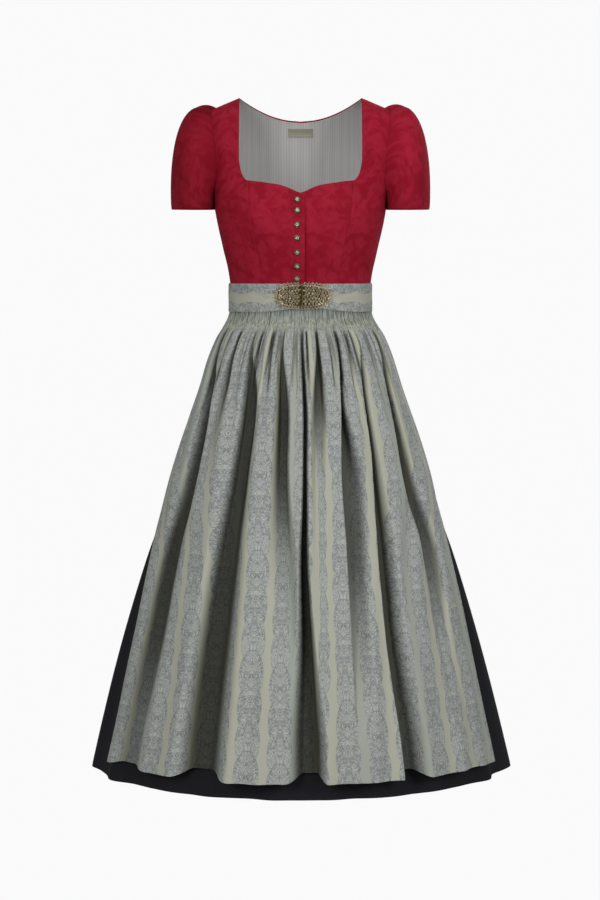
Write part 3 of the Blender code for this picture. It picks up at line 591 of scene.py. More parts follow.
redCloth = redJacquard()
liningCloth = stripedLining()
navyCloth = navySkirtCloth()
greenCloth = greenJacquard()
ruchedCloth = ruchedSatin()
brass = antiqueMetal("antiquedBrassFiligree", "#E9DCB9", "#463A1E", 0.34)
buttonBrass = antiqueMetal("antiquedCastBrass", "#D6C9A8", "#352B1D", 0.33)
ribbonCloth = labelSatin()
redThread = sewingThread("redSewingThread", "#93202F", "#5E0A17")
greyThread = sewingThread("greySewingThread", "#A9A896", "#70726A")
print("dirndl: materials ready")


# Bodice

torsoTable = dict(
    drop=[0, 50, 95, 140, 172, 206, 232, 271, 314, 335, 359],
    halfWidth=[190, 182, 173, 163, 156.5, 152, 147, 138, 128.5, 125.8, 124.5],
    front=[88, 90, 93, 99, 106, 112, 114, 108, 95, 88.5, 85],
    back=[84, 90, 95, 98, 99, 99, 96, 91, 86, 83, 82],
    roundness=[2.3, 2.3, 2.3, 2.3, 2.3, 2.3, 2.3, 2.25, 2.2, 2.15, 2.1],
)
bodice = dict(
    cloth=1.2, waist=359.0, rounding=100.0, slope=0.431, softness=30.0, fadeFrom=40.0, fadeOver=150.0,
    strap=109.0, cupFullness=8.0, cupAcross=78.0, cupDrop=205.0, cupSpread=46.0,
    armDrop=186.0, armFront=52.0, armBack=55.0, armSteps=9, underarm=174.0,
    strapCornerDrop=104.0, strapCornerAcross=17.0, neckCornerDrop=148.7,
    lower=[205, 228, 251, 278, 306, 335, 359],
    lapEdge=7.5, lapUnder=-9.0, lapStart=-22.0, lapEnd=-12.0, lapLift=1.45, seamGap=0.12,
    edgeRoll=0.4, edgeWidth=1.6, edgeCrowd=0.7, shoulderIn=0.02, creaseWaves=9, creaseFade=16.0,
    # seed, depth and spacing of the soft hollows in each panel
    creases=dict(left=(4, 0.35, 46), right=(2, 0.35, 46), under=(7, 0.35, 50), over=(8, 0.35, 50),
                 back=(11, 0.5, 60), lining=(12, 0.35, 70)),
    # strength of the shade at seams, at the armhole's top and under the arm, at the sides and beside the lap
    seamShade=0.3, holeShade=0.12, underarmShade=0.4, shadeReach=2.4, outerShade=dict(left=0.09, right=0.41),
    lapShade=0.58, lapShadeWidth=4.0, lapShadeFrom=178.0, lapShadeFade=24.0,
    rows=121, sideColumns=46, centreColumns=56, backColumns=145, backSteps=16, shoulderSteps=3,
)
# in the neck tables "drop" is how far across and "low" the drop of the neckline there
neckFront = dict(drop=[0, 8, 27, 62, 92], low=[171, 168, 159.5, 152.7, 148.7])
neckBack = dict(drop=[0, 29, 52, 76, 109], low=[37.5, 34.5, 28.5, 18.5, 0])
princessTable = dict(
    drop=[148.7, 191, 227, 259, 290, 319, 359],
    across=[92, 89.8, 84.5, 77.5, 72.8, 69, 65.5],
)


def crowded(count):
    # shares from 0 to 1 that lie closer together near both ends
    even = np.linspace(0, 1, count)
    return even - bodice["edgeCrowd"] * np.sin(2 * halfTurn * even) / (2 * halfTurn)


def levelOf(turn):
    over = bodice["rounding"] * (1 - np.cos(turn))
    below = bodice["rounding"] * (1 + np.abs(turn) - quarterTurn)
    return np.where(np.abs(turn) < quarterTurn, over, below)


def turnOf(level):
    over = np.arccos(1 - np.minimum(level, bodice["rounding"]) / bodice["rounding"])
    return np.where(level < bodice["rounding"], over, quarterTurn + level / bodice["rounding"] - 1)


def shoulderRise(across, level):
    here = np.sqrt(across**2 + bodice["softness"] ** 2)
    fade = 1 - rising(level, bodice["fadeFrom"], bodice["fadeOver"])
    return bodice["slope"] * (math.hypot(bodice["strap"], bodice["softness"]) - here) * fade


def torso(places):
    # the torso's points, for places given as an angle and a turn
    angle, turn = places[..., 0], places[..., 1]
    level = levelOf(turn)
    across, depth = ring(torsoTable, level, angle)
    depth = depth * np.sin(np.clip(turn, -quarterTurn, quarterTurn))
    drop = level - shoulderRise(across, level)
    beside = (np.abs(across) - bodice["cupAcross"]) / bodice["cupSpread"]
    below = (drop - bodice["cupDrop"]) / bodice["cupSpread"]
    cup = bodice["cupFullness"] * np.exp(-(beside**2) - below**2) * (np.cos(angle) > 0)
    return np.stack([across, depth - cup, -drop], axis=-1)


def levelAt(across, drop):
    # the level settles within a few rounds
    level = np.array(drop, float)
    for _ in range(14):
        level = np.maximum(0.0, drop + shoulderRise(np.abs(across), level))
    return level


def placeAt(across, drop, back=False):
    # the angle and turn of the torso's point that lies this far across and down
    across, drop = np.broadcast_arrays(np.asarray(across, float), np.asarray(drop, float))
    level = levelAt(across, drop)
    low, wide = np.full_like(level, quarterTurn if back else 0.0), np.abs(across)
    angle = bisect(low, low + quarterTurn, lambda at: (ring(torsoTable, level, at)[0] < wide) != back)
    angle = np.where(across > 0, angle, 2 * halfTurn - angle) if back else np.copysign(angle, across)
    return np.stack([angle, turnOf(level)], axis=-1)


def torsoNormals(places):
    # from how the torso's points move when a place moves a little round and down
    step = 1e-3
    around = torso(places + [step, 0]) - torso(places - [step, 0])
    down = torso(places + [0, step]) - torso(places - [0, step])
    normals = np.cross(down, around)
    return normals / np.linalg.norm(normals, axis=1, keepdims=True)


def armhole(step, back=False):
    # the left armhole's edge by steps from the shoulder (0) to the underarm
    roundIt = halfTurn * np.asarray(step, float) / bodice["armSteps"]
    level = bodice["armDrop"] / 2 * (1 - np.cos(roundIt))
    turn = turnOf(level)
    depth = bodice["armBack"] if back else bodice["armFront"]
    safe = np.maximum(np.sin(np.minimum(turn, quarterTurn)), 1e-6)
    first = depth / math.sqrt(bodice["armDrop"] / 2 / bodice["rounding"])
    reach = np.where(roundIt < 1e-4, first, depth * np.sin(roundIt) / safe)
    low, high = np.zeros_like(level), np.full_like(level, quarterTurn)
    if back:
        angle = bisect(low + quarterTurn, high * 2, lambda at: ring(torsoTable, level, at)[1] < reach)
    else:
        angle = bisect(low, high, lambda at: -ring(torsoTable, level, at)[1] > reach)
    return np.stack([angle, turn], axis=-1)


def strapEdge(step):
    straight = bodice["armSteps"] // 2 + 1
    drop = bodice["strapCornerDrop"] * (1 - np.cos(halfTurn * np.minimum(step, straight) / (2 * straight)))
    roundIt = quarterTurn * np.clip((step - straight) / (bodice["armSteps"] - 1 - straight), 0, 1)
    across = bodice["strap"] - bodice["strapCornerAcross"] * (1 - np.cos(roundIt))
    rise = (bodice["neckCornerDrop"] - bodice["strapCornerDrop"]) * np.sin(roundIt)
    return placeAt(across, drop + rise)


def princess(drop):
    return placeAt(readTable(princessTable, "across", drop), drop)


def sideRows(back=False):
    # the edge of a panel along the armhole and then down the side seam
    steps = bodice["armSteps"]
    at = np.linspace(0, steps + len(bodice["lower"]), bodice["rows"])
    knots = [bodice["armDrop"]] + bodice["lower"]
    seam = np.interp(at, steps + np.arange(len(knots)), knots)
    hole = armhole(np.minimum(at, steps), back)
    seamPlace = np.stack([np.full_like(at, quarterTurn), turnOf(seam)], axis=-1)
    return at, np.where((at < steps)[:, None], hole, seamPlace)


def sideFrontPlaces():
    at, outer = sideRows()
    corner = bodice["armSteps"] - 1
    knots = [bodice["neckCornerDrop"], bodice["underarm"]] + bodice["lower"]
    seam = np.interp(at, corner + np.arange(len(knots)), knots)
    inner = np.where((at < corner)[:, None], strapEdge(np.minimum(at, corner)), princess(seam))
    share = crowded(bodice["sideColumns"])[None, :, None]
    return inner[:, None] * (1 - share) + outer[:, None] * share


def centreFrontPlaces(fromAcross):
    corner = bodice["neckCornerDrop"]
    seamDrop = np.linspace(corner, bodice["waist"], bodice["rows"])[:, None]
    share = (seamDrop - corner) / (bodice["waist"] - corner)
    part = crowded(bodice["centreColumns"])[None]
    across = fromAcross * (1 - part) + readTable(princessTable, "across", seamDrop) * part
    neck = readTable(neckFront, "low", np.abs(across))
    return placeAt(across, neck + (bodice["waist"] - neck) * share)


def backPlaces():
    _, start = sideRows(back=True)
    end = start * [1, 1]
    end[:, 0] = 2 * halfTurn - end[:, 0]
    count, first = bodice["backSteps"], bodice["shoulderSteps"]
    column = count * crowded(bodice["backColumns"])
    half = np.minimum(column, count - column)
    across = np.interp(half, [first, count / 2], [bodice["strap"], 1e-4])
    neck = placeAt(across, readTable(neckBack, "low", across), back=True)
    strap = placeAt(bodice["strap"], 0.0, back=True)
    shoulder = start[0] + (strap - start[0]) * (half / first)[:, None]
    top = np.where((half < first)[:, None], shoulder, neck)
    top[:, 0] = np.where(column > count / 2, 2 * halfTurn - top[:, 0], top[:, 0])
    across = start[-1, 0] + (end[-1, 0] - start[-1, 0]) * column / count
    bottom = np.stack([across, np.full_like(across, start[-1, 1])], axis=-1)
    u = (column / count)[None, :, None]
    v = ((start[:, 1] - start[0, 1]) / (start[-1, 1] - start[0, 1]))[:, None, None]
    corners = (1 - u) * ((1 - v) * top[0] + v * bottom[0]) + u * ((1 - v) * top[-1] + v * bottom[-1])
    # the four edges are blended, and what the corners would count twice is taken off
    return (1 - v) * top[None] + v * bottom[None] + (1 - u) * start[:, None] + u * end[:, None] - corners


def mirrored(places):
    turned = places[:, ::-1].copy()
    turned[..., 0] *= -1
    return turned


def clothUv(points, columnZero=0):
    # cloth coordinates in millimetres, measured over the surface up from the lower edge
    around, down = lengthAlong(points, 1), lengthAlong(points, 0)
    around = around - around[:, columnZero:columnZero + 1]
    return np.stack([around, down[-1:] - down], axis=-1)


def edgeDistances(points):
    # how far each point of a grid lies from its left, right, top and bottom edges
    across, down = lengthAlong(points, 1), lengthAlong(points, 0)
    return across, across[:, -1:] - across, down, down[-1:] - down


def rolledEdges(points, left=True, right=True, top=False, bottom=False):
    # draws a panel's edges in, so that seams and hems read as turned cloth
    roll = np.zeros(points.shape[:2])
    for on, distance in zip((left, right, top, bottom), edgeDistances(points)):
        if on:
            roll += bell(distance, bodice["edgeWidth"])
    return points - gridNormals(points) * (bodice["edgeRoll"] * np.minimum(roll, 1.0))[..., None]


def drawnIn(points, left=True, right=True):
    # moves the first and last columns in by half a seam gap
    points = points.copy()
    for on, edge, beside in ((left, 0, 1), (right, -1, -2)):
        if on:
            along = points[:, beside] - points[:, edge]
            length = np.linalg.norm(along, axis=-1, keepdims=True)
            points[:, edge] += along / np.maximum(length, 1e-6) * bodice["seamGap"] / 2
    return points


def nearEdges(points, left=0.0, right=0.0):
    # strength of the shade along a panel's sides
    fromLeft, fromRight, _, _ = edgeDistances(points)
    reach = bodice["shadeReach"]
    return np.clip(left * bell(fromLeft, reach) + right * bell(fromRight, reach), 0, 1)


def shadeCloth(piece, strength):
    paintShade(piece, np.tile(strength.ravel(), 2))


def softCreases(points, panel):
    # shallow uneven hollows in the cloth, from a few seeded waves
    seed, reach, spacing = bodice["creases"][panel]
    draw = np.random.default_rng(seed)
    total = np.zeros(points.shape[:2])
    for _ in range(bodice["creaseWaves"]):
        direction = draw.uniform(0, halfTurn)
        length = spacing * draw.uniform(0.6, 1.8)
        along = points @ [math.cos(direction), 0.4, math.sin(direction)]
        total += np.sin(along * 2 * halfTurn / length + draw.uniform(0, 6.3)) / 3
    # the seams keep their line, so the hollows run out before them
    total *= softStep(np.minimum.reduce(edgeDistances(points)) / bodice["creaseFade"])
    return points + gridNormals(points) * (total * reach)[..., None]


def makeSideFront(name, side, node):
    places = sideFrontPlaces()
    if side < 0:
        places = mirrored(places)
    points = torso(places)
    points[0] += (points[1] - points[0]) * bodice["shoulderIn"]
    points = rolledEdges(drawnIn(softCreases(points, sideName(side))), top=True)
    piece = makeCloth(name, points, bodice["cloth"], redCloth, clothUv(points))
    # painted shade along the armhole seam is faint at the shoulder and deep under the arm
    down = np.linspace(0, 1, bodice["rows"])[:, None]
    hole = bodice["holeShade"] + bodice["underarmShade"] * rising(down, 0.3, 0.25)
    shades = [bodice["seamShade"], hole]
    toSide = crowded(bodice["sideColumns"])[::side][None]
    outer = bodice["outerShade"][sideName(side)] * softStep(toSide * 1.2 - 0.2)
    shadeCloth(piece, np.maximum(nearEdges(points, *shades[::side]), outer))
    return finishPiece(piece, node), points


def lapped(places):
    points = torso(places)
    step = (points[..., 0] - bodice["lapStart"]) / (bodice["lapEnd"] - bodice["lapStart"])
    points[..., 1] -= bodice["lapLift"] * softStep(step)
    return points


def finishPiece(piece, node):
    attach(piece, "root")
    if node:
        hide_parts(node)
    return piece


sideLeft, sideLeftPoints = makeSideFront("sideFrontLeft", 1, "front_side_left")
sideRight, sideRightPoints = makeSideFront("sideFrontRight", -1, "front_side_right")

underPlaces = centreFrontPlaces(bodice["lapUnder"])
underPoints = softCreases(torso(underPlaces), "under")
underPoints = rolledEdges(drawnIn(underPoints, left=False), left=False, top=True)
centreLeft = makeCloth("centreFrontLeft", underPoints, bodice["cloth"], redCloth, clothUv(underPoints))
beside = np.maximum(underPoints[..., 0] - bodice["lapEdge"] - 0.8, 0)
lapShade = bodice["lapShade"] * bell(beside, bodice["lapShadeWidth"])
lapShade = lapShade * rising(-underPoints[..., 2], bodice["lapShadeFrom"], bodice["lapShadeFade"])
shadeCloth(centreLeft, np.maximum(nearEdges(underPoints, right=bodice["seamShade"]), lapShade))
finishPiece(centreLeft, "front_centre_left")

overPoints = softCreases(lapped(mirrored(centreFrontPlaces(-bodice["lapEdge"]))), "over")
overPoints = rolledEdges(drawnIn(overPoints, right=False), top=True)
centreRight = makeCloth("centreFrontRight", overPoints, bodice["cloth"], redCloth, clothUv(overPoints))
shadeCloth(centreRight, nearEdges(overPoints, left=bodice["seamShade"]))
finishPiece(centreRight, "front_centre_right")
print("dirndl: bodice fronts made")

backShape = dict(
    lining=0.9, liningGap=2.2, liningSetBack=0.1, liningMargin=6,
    label=dict(
        width=46, height=15.3, drop=57.2, gap=4.3, cloth=0.6, wave=0.35, waveAngle=5.2, flatEnds=0.14,
        sink=1.0, rows=16, columns=41,
    ),
)
backGrid = backPlaces()
backSmooth = torso(backGrid)
backPoints = rolledEdges(drawnIn(softCreases(backSmooth, "back")), top=True)
backUv = clothUv(backPoints, bodice["backColumns"] // 2)
bodiceBack = makeCloth("bodiceBack", backPoints, bodice["cloth"], redCloth, backUv)
finishPiece(bodiceBack, "bodice_back")

margin = backShape["liningMargin"]
liningPoints = (backSmooth - gridNormals(backSmooth) * backShape["liningGap"])[::2, margin:-margin:2]
liningPoints[0] += (liningPoints[3] - liningPoints[0]) * backShape["liningSetBack"]
liningPoints = softCreases(liningPoints, "lining")
liningUv = clothUv(liningPoints, liningPoints.shape[1] // 2)
backLining = makeCloth("backLining", liningPoints, backShape["lining"], liningCloth, liningUv)
finishPiece(backLining, "back_lining")


def makeLabel():
    size = backShape["label"]
    rows, columns = size["rows"], size["columns"]
    across = np.linspace(0.5, -0.5, columns)[None] * size["width"] + 1e-4
    drop = size["drop"] + np.linspace(-0.5, 0.5, rows)[:, None] * size["height"]
    places = placeAt(across, drop, back=True)
    points = torso(places)
    ends = np.abs(np.linspace(-1, 1, columns))[None]
    wave = size["wave"] * np.cos(np.linspace(0, size["waveAngle"], rows))[:, None]
    lift = size["gap"] + wave * (1 - ends**6)
    lift = lift - size["sink"] * rising(ends, 1 - size["flatEnds"], size["flatEnds"])
    points = points - gridNormals(points) * lift[..., None]
    piece = makeCloth("neckLabel", points, size["cloth"], ribbonCloth, clothUv(points, columns // 2))
    return finishPiece(piece, "neck_label")


neckLabel = makeLabel()
print("dirndl: back, lining and label made")


# Sleeves

sleeve = dict(
    hemDrop=198.5, hemAcross=190.6, hemHalfWidth=39.9, hemDepth=64.0, headOut=43.0, startOut=2.0,
    headUp=dict(left=34.5, right=31.0), startSink=4.0, fullness=12.0, hemFullness=7.2, hemFlare=6.0,
    hemBack=2.0, uprightLow=0.3, uprightHigh=0.48, rows=80, columns=121, easePleats=15, easeReach=0.55,
    longFolds=1.3, shortFolds=0.7, hemTurn=0.8, headTurn=0.2, seamOver=0.8, seamUnder=0.85,
    # the shade lies nearer the body than one place across and below one drop, on the crown, and all over
    shade=0.25, shadeAcross=168.0, shadeOver=26.0, shadeDrop=120.0, shadeFade=70.0, crownDrop=8.0,
    crownOver=26.0, shadeAll=dict(left=0.06, right=0.48),
)


def sleevePoints(headUp):
    size = sleeve
    steps = bodice["armSteps"]
    roundArm = np.linspace(halfTurn, -halfTurn, size["columns"])
    step = np.abs(roundArm) / halfTurn * steps
    places = np.where((roundArm >= 0)[:, None], armhole(step), armhole(step, back=True))
    start = torso(places)
    # the head's edge is tucked a little way under the armhole's, so that no gap shows
    normal = torsoNormals(places)
    over = (start - start.mean(axis=0)) * [0.0, 1.0, 1.0]
    over -= normal * (over * normal).sum(axis=1, keepdims=True)
    over /= np.linalg.norm(over, axis=1, keepdims=True)
    start = start + over * size["seamOver"] - normal * size["seamUnder"]
    high = (1 + np.cos(roundArm)) / 2
    out = size["hemAcross"] + size["hemHalfWidth"] * np.cos(roundArm)
    depth = size["hemBack"] - size["hemDepth"] * np.sin(roundArm)
    hem = np.stack([out, depth, np.full_like(out, -size["hemDrop"])], axis=-1)
    leave = np.stack([
        size["startOut"] + size["headOut"] * high,
        -size["fullness"] * np.sin(roundArm),
        headUp * high - size["startSink"],
    ], axis=-1)
    upright = (start[:, 2] - hem[:, 2]) * (size["uprightLow"] + size["uprightHigh"] * high)
    drop = np.stack([size["hemFlare"] * high, -size["hemFullness"] * np.sin(roundArm), upright], axis=-1)
    part = np.linspace(0, 1, size["rows"])[:, None, None]
    rest = 1 - part
    curve = start * rest**3 + (start + leave) * 3 * rest**2 * part
    return curve + (hem + drop) * 3 * rest * part**2 + hem * part**3, roundArm


def makeSleeve(name, side, node):
    points, roundArm = sleevePoints(sleeve["headUp"][sideName(side)])
    normals = gridNormals(points, closed=True)
    down = np.linspace(0, 1, len(points))[:, None]
    # ease at the head, a few long soft folds to the hem, and turned edges
    ease = np.cos(roundArm * sleeve["easePleats"]) * bell(roundArm, 1.0) * bell(down - 0.05, 0.10)
    drape = sleeve["longFolds"] * np.cos(roundArm * 3 + 0.7) * softStep(down)
    drape = drape + sleeve["shortFolds"] * np.cos(roundArm * 5 - 1.1 + down * 2)
    edges = sleeve["hemTurn"] * bell(1 - down, 0.012) + sleeve["headTurn"] * bell(down, 0.012)
    move = sleeve["easeReach"] * ease + drape * softStep(down * 3) - edges
    points = points + normals * move[..., None]
    points[:, -1] = points[:, 0]
    points[..., 0] *= side
    if side < 0:
        points = points[:, ::-1]
    uv = clothUv(points, sleeve["columns"] // 2)
    piece = makeCloth(name, points, bodice["cloth"], redCloth, uv, closed=True)
    spots = np.empty(len(piece.data.vertices) * 3)
    piece.data.vertices.foreach_get("co", spots)
    spots = spots.reshape(-1, 3) / mm
    inner = rising(-np.abs(spots[:, 0]), -sleeve["shadeAcross"], sleeve["shadeOver"])
    inner = inner * rising(-spots[:, 2], sleeve["shadeDrop"], sleeve["shadeFade"])
    crown = bell(spots[:, 2] + sleeve["crownDrop"], sleeve["crownOver"])
    shade = sleeve["shade"] * (inner + crown) + sleeve["shadeAll"][sideName(side)]
    paintShade(piece, np.clip(shade, 0, 1))
    return finishPiece(piece, node), points


sleeveLeft, sleeveLeftPoints = makeSleeve("sleeveLeft", 1, "sleeve_left")
sleeveRight, sleeveRightPoints = makeSleeve("sleeveRight", -1, "sleeve_right")
print("dirndl: sleeves made")


# Skirt

skirtTable = dict(
    drop=[359.4, 389, 402, 417, 451, 523, 595, 667, 740, 812, 886, 1032, 1105, 1213],
    halfWidth=[124.5, 126, 129.3, 135.3, 148.5, 171, 197, 221.5, 244, 270, 293, 333, 350.5, 375],
    front=[85, 86, 89, 95, 108, 131, 152, 171, 189, 207, 224, 253, 266, 284],
    back=[82, 86, 92, 101, 118, 146, 169, 190, 207, 224, 241, 268, 281, 296],
    roundness=[2.1, 2.1, 2.1, 2.1, 2.05, 2, 1.97, 1.94, 1.91, 1.88, 1.86, 1.82, 1.8, 1.8],
)
skirtShape = dict(
    cloth=1.0, top=359.4, hemSide=1208.0, hemFront=1213.0, foldFront=4.0, foldSide=6.0, foldBack=5.0,
    sideFrom=math.radians(55), backFrom=math.radians(85), blend=math.radians(20), growth=0.8,
    waves=18, drift=11, waveShare=0.62, waveTurn=halfTurn, driftTurn=0.6,
    gather=2.4, gatherFrom=math.radians(88), gatherBlend=math.radians(8), gatherStart=381.0,
    gatherRise=40.0, gatherFade=447.0, gatherFall=230.0,
    gathers=52, gatherSharp=0.25, smallFolds=31, smallReach=0.18, smallFrom=520.0, smallFade=300.0,
    seamInset=0.0002, crowding=1.25, rows=100, frontColumns=230, backColumns=280,
)


def foldReach(angle, drop):
    size, off = skirtShape, offFront(angle)
    reach = size["foldFront"] + size["foldSide"] * rising(off, size["sideFrom"], size["blend"])
    reach = reach + size["foldBack"] * rising(off, size["backFrom"], size["blend"])
    growth = (drop - size["gatherStart"]) / (size["hemFront"] - size["gatherStart"])
    return reach * np.clip(growth, 0, 1) ** size["growth"]


def gatherReach(angle, drop):
    size = skirtShape
    behind = rising(offFront(angle), size["gatherFrom"], size["gatherBlend"])
    below = rising(drop, size["gatherStart"], size["gatherRise"])
    return size["gather"] * behind * below * (1 - rising(drop, size["gatherFade"], size["gatherFall"]))


def skirtPoint(angle, drop):
    size = skirtShape
    wave = size["waveShare"] * np.cos(size["waves"] * angle + size["waveTurn"])
    wave = wave + (1 - size["waveShare"]) * np.cos(size["drift"] * angle + size["driftTurn"])
    # gathers sharpen into narrow grooves, and small folds wander a little on their way down
    turn = size["gathers"] * (angle - quarterTurn)
    gather = np.cos(turn) - size["gatherSharp"] * np.cos(2 * turn)
    wander = 0.10 * np.sin(5 * angle + drop / 160) + 0.05 * np.sin(9 * angle - drop / 95)
    fine = np.cos(size["smallFolds"] * (angle + wander * 0.05) + drop / 210)
    fine = size["smallReach"] * fine * rising(drop, size["smallFrom"], size["smallFade"])
    out = foldReach(angle, drop) * (wave + fine) + gatherReach(angle, drop) * gather
    return pushedOut(skirtTable, angle, drop, out)


def makeSkirt(name, node, start, columns):
    size = skirtShape
    angle = np.linspace(start + size["seamInset"], start + halfTurn - size["seamInset"], columns)[None]
    low = size["hemSide"] + (size["hemFront"] - size["hemSide"]) * np.clip(1.35 * np.cos(angle), 0, 1) ** 2
    share = np.linspace(0, 1, size["rows"])[:, None] ** size["crowding"]
    drop = size["top"] + (low - size["top"]) * share
    points = rolledEdges(skirtPoint(angle + 0 * drop, drop), bottom=True)
    around = lengthAlong(points, 1)[-1:] * np.ones((size["rows"], 1))
    uv = np.stack([around, points[..., 2]], axis=-1)
    piece = makeCloth(name, points, size["cloth"], navyCloth, uv)
    return finishPiece(piece, node)


skirtFront = makeSkirt("skirtFront", "skirt_front", -quarterTurn, skirtShape["frontColumns"])
skirtBack = makeSkirt("skirtBack", "skirt_back", quarterTurn, skirtShape["backColumns"])
print("dirndl: skirt made")


# Apron

apronTable = dict(
    drop=[375, 384, 402, 417, 451, 523, 631, 697, 749, 812, 882, 1032, 1180],
    edge=[101, 101, 100.7, 100.3, 99, 95.5, 90.5, 86.5, 82.5, 77.5, 75, 73, 72.6],
    clear=[0.9, 0.9, 1.4, 1.7, 1.7, 1.7, 1.7, 1.7, 1.7, 1.7, 1.7, 1.7, 1.7],
    billow=[0, 0, 1, 2.5, 5, 12, 18, 21.5, 24, 27, 30.5, 37, 42],
    gather=[0, 0, 1.0, 2.6, 3.2, 1.6, 0.5, 0.1, 0, 0, 0, 0, 0],
    proud=[0, 0, 1, 4, 9, 13, 12, 11, 10, 9, 8, 7, 6],
)
apron = dict(
    cloth=1.0, lift=1.3, top=376.2, hem=1177.0, hemRise=13.0, taper=0.88, gathers=25, rows=88, columns=560,
    crowding=1.15, cutWidth=1060.0, shortSheer=0.6, spread=0.0022, narrowest=0.0045,
)
# grooves between the folds as seen from the front: place across, half width and depth at each drop,
# and how sheer the left and right sides are (0 sloping, 1 standing)
grooveDrops = [438, 534, 663, 806, 957, 1108]
grooves = [
    ((-140, -161, -191, -231, -262, -294), (3, 5, 8, 13, 16, 16), (0.75, 0.95, 0.95, 0.95, 0.85, 0.6),
     0.3, 0.3),
    ((-110, -136, -164, -173, -189, -205), (3, 7, 9, 9, 9, 9), (0.80, 0.50, 0.12, 0, 0, 0), 0.3, 0.3),
    ((-83, -88, -107, -131, -154, -174), (3, 10, 14, 19, 24, 27), (0.70, 0.95, 1, 1, 1, 0.95), 0.6, 0.25),
    ((-32, -30, -33, -30, -28, -28), (3, 8, 10, 14, 14, 14), (0.60, 0.90, 0.85, 0.45, 0.12, 0), 0.4, 0.6),
    ((3, 7, 8, 8, 13, 16), (3, 2.5, 3, 5, 11, 22), (0.85, 0.85, 0.85, 1, 1, 0.95), 0.3, 0.8),
    ((29, 31, 30, 30, 30, 30), (3, 8, 7, 7, 7, 7), (0.90, 0.80, 0.25, 0.05, 0, 0), 0.5, 0.6),
    ((66, 70, 86, 96, 104, 110), (3, 3, 15, 15, 12, 12), (0.85, 0.95, 0.80, 0.75, 0.40, 0.05), 0.9, 0.4),
    ((101, 111, 131, 147, 163, 188), (2, 3, 5, 10, 12, 15), (0.60, 0.80, 0.95, 0.95, 0.92, 0.85), 0.9, 0.4),
    ((134, 157, 187, 231, 252, 289), (3, 4, 9, 12, 8, 10), (0.85, 1, 0.92, 0.72, 0.30, 0.12), 0.6, 0.6),
]
# short ones start at the header and soon run out: place, half width, depth, and the drop where each ends
shortGrooves = [
    (-127, 3, 0.60, 520), (-98, 3, 0.35, 500), (-70, 3, 0.90, 520), (-62, 3, 0.30, 640), (-50, 4, 0.85, 500),
    (-37, 3, 0.60, 480), (-8, 3, 0.50, 490), (11, 2, 0.40, 470), (52, 4, 0.55, 500), (63, 5, 0.30, 620),
    (82, 4, 0.85, 510), (92, 5, 0.28, 600), (119, 4, 0.60, 490),
]


waistLift = dict(rise=9.0, middle=8.0, reach=32.0)


def waistRise(degrees):
    # the band's lower edge and the header rise towards the clasp
    return waistLift["rise"] * bell(degrees - waistLift["middle"], waistLift["reach"])


def apronShare(drop, across):
    # the share of the half apron that lies this far across at one drop, seen from the front
    shares = np.linspace(-1, 1, 801)
    angle = shares * np.radians(readTable(apronTable, "edge", drop))
    out = readTable(apronTable, "billow", drop) * (1 - apron["taper"] * np.abs(shares) ** 3) + 4
    return np.interp(across, pushedOut(skirtTable, angle, drop + 0 * angle, out)[:, 0], shares)


def prepareGrooves():
    rows, first, sheer = list(grooves), grooveDrops[0], apron["shortSheer"]
    for place, wide, deep, last in shortGrooves:
        fade = [deep * float(1 - rising(drop, first, last - first)) for drop in grooveDrops]
        spread = [place * (1 + apron["spread"] * (drop - first)) for drop in grooveDrops]
        rows.append((spread, [wide] * len(grooveDrops), fade, sheer, sheer))
    ready = []
    for places, widths, depths, left, right in rows:
        share, wide = [], []
        for drop, place, width in zip(grooveDrops, places, widths):
            low, here, high = apronShare(drop, np.array([place - width, place, place + width], float))
            share.append(float(here))
            wide.append(max(float(high - low) / 2, apron["narrowest"]))
        ready.append((dict(drop=grooveDrops, share=share, wide=wide, deep=list(depths)), left, right))
    return ready


readyGrooves = prepareGrooves()


def grooveDepth(share, drop):
    # how deep the grooves are, and how far the cloth beside them leans over
    total, lean = np.zeros_like(share), np.zeros_like(share)
    for table, left, right in readyGrooves:
        width = (0.95 + 0.70 * rising(drop, 425, 85)) * readTable(table, "wide", drop)
        deep = np.clip(readTable(table, "deep", drop), 0, 1)
        beside = (share - readTable(table, "share", drop)) / width
        # a sheer side stands up as a wall, the other slopes
        sheer = np.where(beside < 0, left, right)
        floor, edge = 0.10 + 0.50 * sheer, 1.50 - 0.50 * sheer
        total += deep * (1 - rising(np.abs(beside), floor, edge - floor))
        reach = deep * width * (0.10 + 0.28 * sheer)
        lean += reach * np.tanh(beside * 1.6) * bell(np.abs(beside) - 1.0, 0.55)
    return np.minimum(total, 1.0), lean


def pleatPhase(share):
    # where a point lies in the uneven row of small gathers, as an angle
    stray = 1.1 * np.sin(share * 17 + 0.6) + 0.5 * np.sin(share * 31)
    return apron["gathers"] * halfTurn * (share + 1) + stray


def apronWrinkle(share, drop):
    # slight uneven waves in the cloth, each from its own drop down
    long = 1.0 * np.sin(share * 57 + np.sin(drop / 60) * 0.9) * rising(drop, 420, 120)
    slow = 1.1 * np.sin(share * 38 + drop / 150 + 0.5) * rising(drop, 520, 200)
    level = 0.6 * np.sin(drop / 34 + share * 19) * np.sin(share * 11 + 2) * rising(drop, 480, 200)
    return long + slow + level


